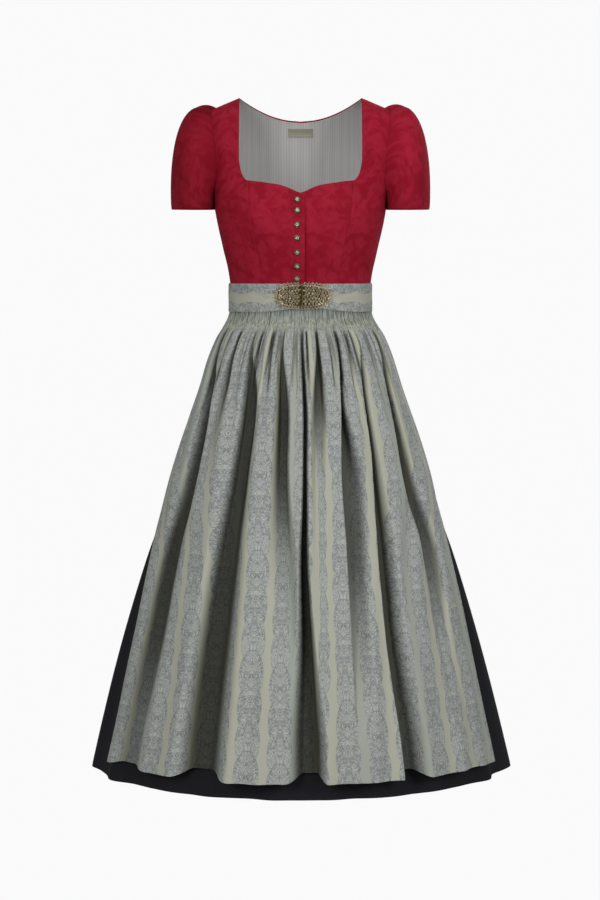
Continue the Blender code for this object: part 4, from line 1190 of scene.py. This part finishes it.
def apronPoint(share, drop):
    depth, lean = grooveDepth(share, drop)
    angle = (share - lean * rising(drop, 400, 60)) * np.radians(readTable(apronTable, "edge", drop))
    billow = readTable(apronTable, "billow", drop) * (1 - apron["taper"] * np.abs(share) ** 3)
    # folds stand prouder than the plain solid, in their own uneven heights
    proud = readTable(apronTable, "proud", drop) * (1 - share**2) ** 1.2
    uneven = 1 + 0.10 * np.sin(share * 23 + 1.1) + 0.07 * np.sin(share * 41 + drop / 140)
    pleat = 0.5 + 0.5 * np.cos(pleatPhase(share))
    gather = (1 + 0.7 * pleat**0.6) * (0.85 + 0.3 * np.sin(share * 29))
    out = apron["lift"] + readTable(apronTable, "clear", drop)
    out = out + foldReach(angle, drop) + gatherReach(angle, drop)
    out = out + (billow * uneven + proud + apronWrinkle(share, drop)) * (1 - depth)
    return pushedOut(skirtTable, angle, drop, out + readTable(apronTable, "gather", drop) * gather)


def apronShade(share, drop):
    # painted shade where the cloth lies deep: the grooves, between the small gathers below the header, and
    # along the header's top behind the ruches
    depth, _ = grooveDepth(share, drop)
    between = 0.6 * (0.5 - 0.5 * np.cos(pleatPhase(share))) ** 8
    between = between * np.clip(readTable(apronTable, "gather", drop) / 2.8, 0, 1)
    start = 0.9 * (1 - rising(drop, 394, 14))
    return np.clip(depth * rising(drop, 396, 30) + between + start, 0, 1)


def makeApron():
    share = np.linspace(-1, 1, apron["columns"])[None]
    hemDepth, _ = grooveDepth(share, np.full_like(share, apron["hem"]))
    hem = apron["hem"] - apron["hemRise"] * hemDepth
    down = np.linspace(0, 1, apron["rows"])[:, None] ** apron["crowding"]
    top = apron["top"] - waistRise(share * apronTable["edge"][0])
    drop = top + (hem - top) * down
    points = rolledEdges(apronPoint(share + 0 * drop, drop), bottom=True)
    along = lengthAlong(points, 1)[-1]
    around = (along - along[len(along) // 2]) * apron["cutWidth"] / along[-1]
    uv = np.stack([np.broadcast_to(around, drop.shape), -drop], axis=-1)
    piece = makeCloth("apronPanel", points, apron["cloth"], greenCloth, uv)
    shadeCloth(piece, apronShade(share + 0 * drop, drop))
    return finishPiece(piece, "apron_panel")


apronPanel = makeApron()
print("dirndl: apron panel made")


# Apron band

waistTable = dict(
    drop=[314, 335, 359, 389, 402],
    halfWidth=[128.5, 125.8, 124.5, 126, 129.3],
    front=[95, 88.5, 85, 86, 89],
    back=[86, 83, 82, 86, 92],
    roundness=[2.2, 2.15, 2.1, 2.1, 2.1],
)
bandShape = dict(
    cloth=1.6, lift=2.0, top=330.4, height=50.8, liftTop=0.8, liftBottom=3.0, lapLift=2.6, lapAngle=15.0,
    endAcross=1.0, columns=420, rows=27, clearOfClasp=22.0, looseness=0.5, ripple=0.3, edgeTurn=0.8,
    puff=0.55, creaseStart=36.0, creaseEnd=26.0, creaseMiddle=0.52, creaseDeepest=1.3,
    creaseReach=dict(left=1.5, right=0.7),
    # how each crease slopes as it leaves the clasp, and its depth
    creases=[(-0.010, 0.9), (0.004, 0.7), (0.017, 1.0)],
)


def bandPoint(angle, share, lift):
    size = bandShape
    drop = size["top"] + size["height"] * share
    off = np.degrees(offFront(angle))
    overLap = size["lapLift"] * (1 - rising(off, size["lapAngle"], size["lapAngle"]))
    out = size["liftTop"] + (size["liftBottom"] - size["liftTop"]) * share + overLap + lift
    return pushedOut(waistTable, angle, drop, out)


def waistAngle(drop, across):
    across, drop = np.broadcast_arrays(np.asarray(across, float), np.asarray(drop, float))
    low, high = np.zeros_like(drop), np.full_like(drop, quarterTurn)
    found = bisect(low, high, lambda at: ring(waistTable, drop, at)[0] < np.abs(across))
    return np.copysign(found, across)


def bandCreases(signed, share):
    # creases fan out from the clasp's ends, deeper on the wearer's left, and fade round the side
    size = bandShape
    fan = np.zeros((size["rows"], size["columns"]))
    for side in (1, -1):
        reach = size["creaseReach"][sideName(side)]
        away = side * signed - size["creaseStart"]
        fade = softStep((away + 6) / 8) * (1 - rising(away, 8, size["creaseEnd"]))
        for slope, deep in size["creases"]:
            line = size["creaseMiddle"] + slope * away
            fan -= reach * deep * fade * bell(share - line, 0.055 + 0.0016 * np.maximum(away, 0))
    return np.maximum(fan, -size["creaseDeepest"])


def makeBand():
    size = bandShape
    end = float(waistAngle(size["top"] + size["height"] / 2, size["endAcross"]))
    angle = np.linspace(end, 2 * halfTurn - end, size["columns"])[None]
    share = np.linspace(0, 1, size["rows"])[:, None]
    signed = np.degrees(np.arctan2(np.sin(angle), np.cos(angle)))
    fan = bandCreases(signed, share)
    loose = size["looseness"] * np.sin(signed / 7.5 + 2 * share) * np.sin(share * 5)
    loose = loose + size["ripple"] * np.sin(signed / 3.1)
    edges = bell(share, 0.03) + bell(1 - share, 0.03)
    covered = rising(np.abs(signed), size["clearOfClasp"], 12)
    puffed = fan + loose + size["puff"] * np.sin(share * halfTurn)
    out = size["lift"] + puffed * covered - size["edgeTurn"] * edges
    points = bandPoint(angle + 0 * share, share * (1 - waistRise(signed) / size["height"]), out)
    around = lengthAlong(points, 1)[size["rows"] // 2]
    u = np.broadcast_to(around, fan.shape) - around[len(around) // 2]
    # the band is cut across the cloth, so the stripes run along it
    v = size["height"] * (0.5 - share) + apronPattern["pitch"] / mm / 2 + 0 * u
    piece = makeCloth("apronBand", points, size["cloth"], greenCloth, np.stack([v, u], axis=-1))
    # painted shade along the band's top and bottom edges and in its creases
    shadeCloth(piece, np.clip(0.35 * edges - 0.1 * fan, 0, 0.6))
    return finishPiece(piece, "apron_band"), points


apronBand, bandPoints = makeBand()
print("dirndl: apron band made")


# Ruches of the apron's header, made by a tree that sweeps a round profile along each line

def closeTree(tree, source, result, geometry):
    # realizes the instances and gives them the tree's material
    real = addNode(tree, "GeometryNodeRealizeInstances", {0: geometry})
    done = addNode(tree, "GeometryNodeSetMaterial", {0: real, "Material": (source, "Material")})
    feed(tree, result, {0: done})
    return tree


def ruchesTree():
    tree, source, result = geometryTree("sweepRuches", dict(Radius=0.0011, Sides=6))
    lines = addNode(tree, "GeometryNodeMeshToCurve", {0: (source, "Geometry")})
    part = addNode(tree, "GeometryNodeSplineParameter")
    swell = addMath(tree, "SINE", addMath(tree, "MULTIPLY", (part, "Factor"), halfTurn))
    grown = addMath(tree, "MULTIPLY_ADD", swell, 0.45, 0.55)
    sized = addNode(tree, "GeometryNodeSetCurveRadius", {0: lines, "Radius": grown})
    sizes = {"Resolution": (source, "Sides"), "Radius": (source, "Radius")}
    profile = addNode(tree, "GeometryNodeCurvePrimitiveCircle", sizes)
    swept = addNode(tree, "GeometryNodeCurveToMesh", {0: sized, "Profile Curve": profile, "Fill Caps": True})
    # newer versions scale the profile by an input of the sweep
    if "Scale" in swept.inputs:
        feed(tree, swept, {"Scale": grown})
    return closeTree(tree, source, result, swept)


ruche = dict(
    count=176, top=377.0, bottom=411.0, radius=0.00105, sides=6, points=9, outermost=0.995, aside=0.0022,
    sway=0.0018, stray=5.0, seed=5,
)


def makeRuches():
    draw = np.random.default_rng(ruche["seed"])
    lines = []
    for share in np.linspace(-ruche["outermost"], ruche["outermost"], ruche["count"]):
        share = share + draw.normal(0, ruche["aside"])
        end = ruche["bottom"] + draw.uniform(-1, 1) * ruche["stray"]
        top = ruche["top"] - waistRise(share * apronTable["edge"][0])
        drop = np.linspace(top, end, ruche["points"])
        part = (drop - top) / (ruche["bottom"] - ruche["top"])
        lines.append(apronPoint(share + ruche["sway"] * np.sin(drop / 7 + draw.uniform(0, 6.3)) * part, drop))
    sizes = dict(Radius=ruche["radius"], Sides=ruche["sides"])
    piece = runTree("apronRuches", ruchesTree(), guideLines("rucheLines", lines), ruchedCloth, sizes)
    return finishPiece(piece, None)


apronRuches = makeRuches()
print("dirndl: header ruches made,", len(apronRuches.data.polygons), "faces")


# Sewing: short stitches laid along lines by a tree

def stitchTree():
    tree, source, result = geometryTree("layStitches", dict(Pitch=0.003, Length=0.0022, Thick=0.0003))
    lines = addNode(tree, "GeometryNodeMeshToCurve", {0: (source, "Geometry")})
    spots = addNode(tree, "GeometryNodeCurveToPoints", {0: lines, "Length": (source, "Pitch")}, mode="LENGTH")
    grain = addNode(tree, "GeometryNodeMeshUVSphere", {"Segments": 6, "Rings": 4, "Radius": 1.0})
    thick, half = (source, "Thick"), addMath(tree, "MULTIPLY", (source, "Length"), 0.5)
    size = addNode(tree, "ShaderNodeCombineXYZ", {0: thick, 1: thick, 2: half})
    laid = addNode(tree, "GeometryNodeInstanceOnPoints", {
        "Points": (spots, "Points"), "Instance": grain, "Rotation": (spots, "Rotation"), "Scale": size})
    return closeTree(tree, source, result, laid)


stitches = stitchTree()
sewing = dict(
    seamInset=4.0, neckInset=4.0, bandInset=3.2, sleeveHem=22.0, seamRows=19, lift=0.25,
    pitch=0.003, length=0.0023, thick=0.00026,
)


def gridLine(points, ends, column=None, row=None, closed=False):
    # a row or a column of a grid without its ends, lifted off the cloth
    lifted = points + gridNormals(points, closed) * sewing["lift"]
    line = lifted[:, column] if row is None else lifted[row]
    return line[ends[0]:len(line) - ends[1]]


def columnAt(points, distance, fromLeft=True):
    # the column that lies this far from an edge, a quarter of the way up
    along = lengthAlong(points, 1)[len(points) * 3 // 4]
    away = along if fromLeft else along[-1] - along
    return int(np.argmin(np.abs(away - distance)))


def rowAt(points, distance, fromTop=True):
    along = lengthAlong(points, 0)[:, points.shape[1] // 2]
    away = along if fromTop else along[-1] - along
    return int(np.argmin(np.abs(away - distance)))


def makeStitches():
    size = sewing
    red, grey = [], []
    for points, first in ((sideLeftPoints, True), (sideRightPoints, False)):
        red.append(gridLine(points, (2, size["seamRows"]), column=columnAt(points, size["seamInset"], first)))
    for points in (overPoints, underPoints):
        red.append(gridLine(points, (2, 2), row=rowAt(points, size["neckInset"])))
    for points in (sleeveLeftPoints, sleeveRightPoints):
        red.append(gridLine(points, (0, 0), row=rowAt(points, size["sleeveHem"], False), closed=True))
    red.append(gridLine(backPoints, (2, 2), row=rowAt(backPoints, size["neckInset"])))
    for fromTop in (True, False):
        grey.append(gridLine(bandPoints, (4, 4), row=rowAt(bandPoints, size["bandInset"], fromTop)))
    sizes = dict(Pitch=size["pitch"], Length=size["length"], Thick=size["thick"])
    made = []
    for name, lines, thread, slot in (
        ("redStitches", red, redThread, "bodice_jacquard"),
        ("greyStitches", grey, greyThread, "apron_jacquard"),
    ):
        piece = runTree(name, stitches, guideLines(name + "Lines", lines), thread, sizes)
        made.append(finishPiece(piece, None))
    return made


stitchPieces = makeStitches()
print("dirndl: stitches laid,", sum(len(piece.data.polygons) for piece in stitchPieces), "faces")


# Buttons: domed, with a beaded rim and a flower in relief

button = dict(
    drops=[183.0, 202.0, 226.7, 249.7, 275.4, 299.4, 321.5], across=-6.0, radius=5.7, height=4.6, lift=0.6,
    rings=20, spokes=48, petals=6, beads=16, spin=0.37, domeShare=0.72,
    # places as shares of the radius, and heights in the relief
    flowerAt=0.42, rimAt=0.88, grooveAt=0.70, flowerRise=0.7, heartRise=0.5, rimRise=0.45, grooveCut=0.3,
)


def buttonRelief(out, around):
    # height and painted shade mark of the button's face, by share of the radius and the way round
    dome = np.sqrt(np.maximum(0.0, 1 - (out * 0.97) ** 2))
    petal = np.abs(np.cos(around * button["petals"] / 2)) ** 0.7
    flower = bell(out - button["flowerAt"] * (0.75 + 0.35 * petal), 0.18) * petal
    heart = bell(out, 0.16)
    rim = bell(out - button["rimAt"], 0.07) * (0.75 + 0.25 * np.cos(around * button["beads"]))
    groove = bell(out - button["grooveAt"], 0.06)
    height = button["height"] * dome * button["domeShare"] + button["flowerRise"] * flower
    height = height + button["heartRise"] * heart + button["rimRise"] * rim - button["grooveCut"] * groove
    # the low ground and the groove are marked dark, partly antique patina and partly painted shade; the
    # raised flower, heart and rim are marked light
    return height, np.clip(0.70 - 0.8 * flower - 0.6 * heart - 0.4 * rim + 0.25 * groove, -0.1, 1)


def makeButton(number, drop):
    size = button
    place = placeAt(size["across"], drop)[None]
    base, normal = lapped(place)[0], torsoNormals(place)[0]
    sideways = np.cross([0.0, 0.0, 1.0], normal)
    sideways /= np.linalg.norm(sideways)
    around = np.arange(size["spokes"]) * 2 * halfTurn / size["spokes"]
    turned = (around + number * size["spin"])[:, None]
    spokes = np.cos(turned) * sideways + np.sin(turned) * np.cross(normal, sideways)
    # rings of the face from its middle out, and two of the underside
    rows = [(out, *buttonRelief(out, around)) for out in np.linspace(0, 1, size["rings"] + 1)[1:]]
    rows += [(0.98, np.full(len(around), 0.55), np.full(len(around), 0.8))]
    rows += [(0.80, np.zeros(len(around)), np.full(len(around), 0.8))]
    points = [[base + normal * (size["lift"] + buttonRelief(0.0, 0.0)[0])]]
    for out, height, _ in rows:
        points.append(base + normal * (size["lift"] + height)[:, None] + size["radius"] * out * spokes)
    points = np.concatenate(points + [[base + normal * size["lift"]]])
    last = 1 + (len(rows) - 1) * size["spokes"]
    faces = fanFaces(1, size["spokes"], 0) + ringFaces(1, len(rows), size["spokes"])
    faces += fanFaces(last, size["spokes"], len(points) - 1)
    piece = makeObject(f"button{number}", points, faces, buttonBrass, crease=40)
    # painted shade: the underside rings and the middle beneath are marked dark, as they lie under the button
    paintShade(piece, np.concatenate([[0.0]] + [shadeTone for _, _, shadeTone in rows] + [[0.9]]))
    return finishPiece(piece, f"button_{number}")


for number, drop in enumerate(button["drops"], start=1):
    makeButton(number, drop)
print("dirndl: buttons made")


# Clasp: two halves of filigree wire and beads on a back plate painted dark as shade between the wires

clasp = dict(
    height=47.0, rightWidth=48.0, leftWidth=53.5, split=1.6, halfGap=0.05, up=4.0, lift=0.95, seed=21,
    narrowing=0.2, fullness=0.72, endRoundness=2.1, splitRoundness=60.0, straightFrom=-0.25, rimSize=0.96,
    plate=0.9, plateSpokes=168, dome=2.0, wireGap=0.35, innerRim=0.80, border=1.02, rimWire=0.6,
    post=2.0, postHalf=19.0, postWire=0.3, petals=19, petalLong=6.4, petalWide=4.1, petalWire=0.45,
    scroll=5.0, scrollRows=3, scrollHigh=19.5, scrollShare=0.80, scrollTurns=1.25, scrollWire=0.42,
    bead=1.05, beadGap=0.65,
)


def claspRim(width, side, count):
    # the outline of one half, round at its outer end and straight along the split
    around = np.arange(count) * 2 * halfTurn / count
    outward, upward = np.cos(around), np.sin(around)
    blunt = np.where(outward > 0, 2 / clasp["endRoundness"], 2 / clasp["splitRoundness"])
    along = np.copysign(np.abs(outward) ** blunt, outward)
    along = along * np.where(outward > clasp["straightFrom"], clasp["rimSize"], 1.0)
    narrow = clasp["rimSize"] * (1 - clasp["narrowing"] * np.maximum(0, outward))
    high = clasp["height"] / 2 * narrow * np.copysign(np.abs(upward) ** clasp["fullness"], upward)
    return np.stack([side * width / 2 * (1 + along), high], axis=-1)


def onBand(places, lift):
    # places measured across and up from the band's middle, laid over the band
    places = np.asarray(places, float)
    share = 0.5 - (places[..., 1] + clasp["up"]) / bandShape["height"]
    drop = bandShape["top"] + bandShape["height"] * share
    return bandPoint(waistAngle(drop, places[..., 0]), share, bandShape["lift"] + lift)


def domeLift(places, middle, width):
    # the filigree stands highest in the middle of each half
    out = np.hypot((places[..., 0] - middle) / (width / 2), places[..., 1] / (clasp["height"] / 2))
    return clasp["dome"] * np.clip(1 - out**2, 0, 1)


def beadTree():
    tree, source, result = geometryTree("setBeads", dict(Radius=0.001, Detail=2))
    spots = addNode(tree, "GeometryNodeMeshToPoints", {0: (source, "Geometry")})
    size = addNode(tree, "GeometryNodeInputNamedAttribute", {"Name": "size"}, data_type="FLOAT")
    sizes = {"Radius": (source, "Radius"), "Subdivisions": (source, "Detail")}
    grain = addNode(tree, "GeometryNodeMeshIcoSphere", sizes)
    laid = addNode(tree, "GeometryNodeInstanceOnPoints", {"Points": spots, "Instance": grain, "Scale": size})
    return closeTree(tree, source, result, laid)


beads = beadTree()


def openedBeside(line, side, edge, away):
    # a closed line cut open beside the split
    line = line[(line[:, 0] - edge) * side > away]
    jumps = np.linalg.norm(line - np.roll(line, 1, axis=0), axis=1)
    return np.roll(line, -int(np.argmax(jumps)), axis=0)


def makeClaspHalf(name, side, width, node):
    size = clasp
    edge = size["split"] + side * size["halfGap"]
    middle = edge + side * width / 2
    draw = np.random.default_rng(size["seed"] + side)
    paths, radii, spots, sizes = [], [], [], []

    def placed(rim, scale):
        centre = np.array([side * 0.4, 0.0])
        return centre + (rim - centre) * scale + [edge, 0.0]

    def addWire(path, radius, lift=0.0):
        height = size["lift"] + size["plate"] + size["wireGap"] + lift + domeLift(path, middle, width)
        paths.append(onBand(path, height))
        radii.append(radius)

    # back plate: thin, painted nearly black as the shade between the wires, and set in from the border, by
    # share of the outline and height
    count, top = size["plateSpokes"], size["plate"]
    rim = claspRim(width, side, count)
    rings = [(0.02, 0), (0.5, 0), (0.87, 0), (0.89, 0.4), (0.87, top), (0.6, top), (0.3, top), (0.02, top)]
    points = np.concatenate([onBand(placed(rim, scale), size["lift"] + high) for scale, high in rings])
    ends = [tuple(range(count)), tuple(range(len(points)))[-count:][::-1]]
    plate = makeObject(name, points, ringFaces(0, len(rings), count) + ends, brass, crease=50)
    paintShade(plate, np.full(len(plate.data.vertices), 0.95))
    finishPiece(plate, node)

    # wires: an inner rim, a post beside the split, petals round the border, and scrolls within
    inner = placed(claspRim(width, side, 140), size["innerRim"])
    addWire(openedBeside(inner, side, edge, 1.6), size["rimWire"], 0.2)
    if side > 0:
        high = np.linspace(-size["postHalf"], size["postHalf"], 40)
        addWire(np.stack([np.full(40, edge + size["post"]), high], axis=-1), size["postWire"], 0.4)
    border = openedBeside(placed(claspRim(width, side, 400), size["border"]), side, edge, 2.0)
    along = lengthAlong(border, 0)
    for share in (np.arange(size["petals"]) + 0.5) / size["petals"]:
        tip = np.array([np.interp(share * along[-1], along, border[:, axis]) for axis in (0, 1)])
        out = tip - [middle, 0.0]
        out = out / np.linalg.norm(out) * draw.uniform(0.97, 1.03)
        cross = np.array([-out[1], out[0]])
        turns = np.linspace(0, 2 * halfTurn, 19)[:, None]
        long, wide = size["petalLong"] / 2, size["petalWide"] / 2
        petal = tip - out * long + out * long * np.cos(turns) + cross * wide * np.sin(turns)
        addWire(petal, size["petalWire"], 0.1)
        spots += [tuple(tip), tuple(tip - out * size["petalLong"])]
        sizes += [draw.choice([0.55, 0.62, 0.95]), 0.75]
    # scrolls in staggered rows, each turned its own way, with beads on and between them
    for order in range(-size["scrollRows"], size["scrollRows"] + 1):
        high = order * size["scroll"] * 0.93
        reach = width / 2 * size["scrollShare"] * (1 - abs(high / size["scrollHigh"]) ** 2.1) ** 0.48
        start, end = edge + side * 3.2, middle + side * reach
        number = max(2, int(abs(end - start) / size["scroll"]))
        for index in range(number):
            across = start + (end - start) * (index + 0.25 + 0.5 * (order % 2)) / number
            turns = np.linspace(0.0, 2 * halfTurn * size["scrollTurns"], 30)
            radius = 0.3 + draw.uniform(2.0, 2.8) * turns / turns[-1]
            at = draw.choice([-1, 1]) * turns + draw.uniform(0, 6.3)
            curl = np.stack([across + radius * np.cos(at), high + radius * np.sin(at)], axis=-1)
            addWire(curl, size["scrollWire"])
            spots += [(across, high), (across + 2.5, high + 2.3)]
            sizes += [draw.choice([0.6, 0.8, 1.3]), draw.choice([0.4, 0.55, 0.9])]
    wires = makeObject(name + "Wires", *tubeMesh(paths, radii), brass, crease=60)
    across = np.array([vertex.co.x for vertex in wires.data.vertices]) / mm
    # a middling mark sets the wires' tone, with a little painted shade beside the post's place near the split
    paintShade(wires, 0.31 + 0.1 * bell(across - edge - side * size["post"], 0.8))
    finishPiece(wires, None)

    spots = np.array(spots)
    height = size["lift"] + size["plate"] + size["beadGap"] + domeLift(spots, middle, width)
    guide = guideLines(name + "Spots", [onBand(spots, height)])
    layer = guide.data.attributes.new("size", "FLOAT", "POINT")
    layer.data.foreach_set("value", np.array(sizes, np.float32))
    grains = runTree(name + "Beads", beads, guide, brass, dict(Radius=size["bead"] * mm, Detail=2))
    # painted highlight: a third of the beads are marked bright as glints, the rest darker
    beadGlints = draw.choice([-0.6, 0.1, 0.4], len(spots))
    paintShade(grains, np.repeat(beadGlints, len(grains.data.vertices) // len(spots)))
    finishPiece(grains, None)


makeClaspHalf("claspLeft", 1, clasp["leftWidth"], "clasp_left")
makeClaspHalf("claspRight", -1, clasp["rightWidth"], "clasp_right")
print("dirndl: clasp made")


# Triangle counts of the shown pieces

print("dirndl: cloth declared")

stage = ("farWall", "floor")
shown = [thing for thing in bpy.data.objects if thing.type == "MESH" and thing.name not in stage]
triangles = {thing.name: sum(len(face.vertices) - 2 for face in thing.data.polygons) for thing in shown}
print("dirndl:", sum(triangles.values()), "triangles, most in one piece", max(triangles.values()))
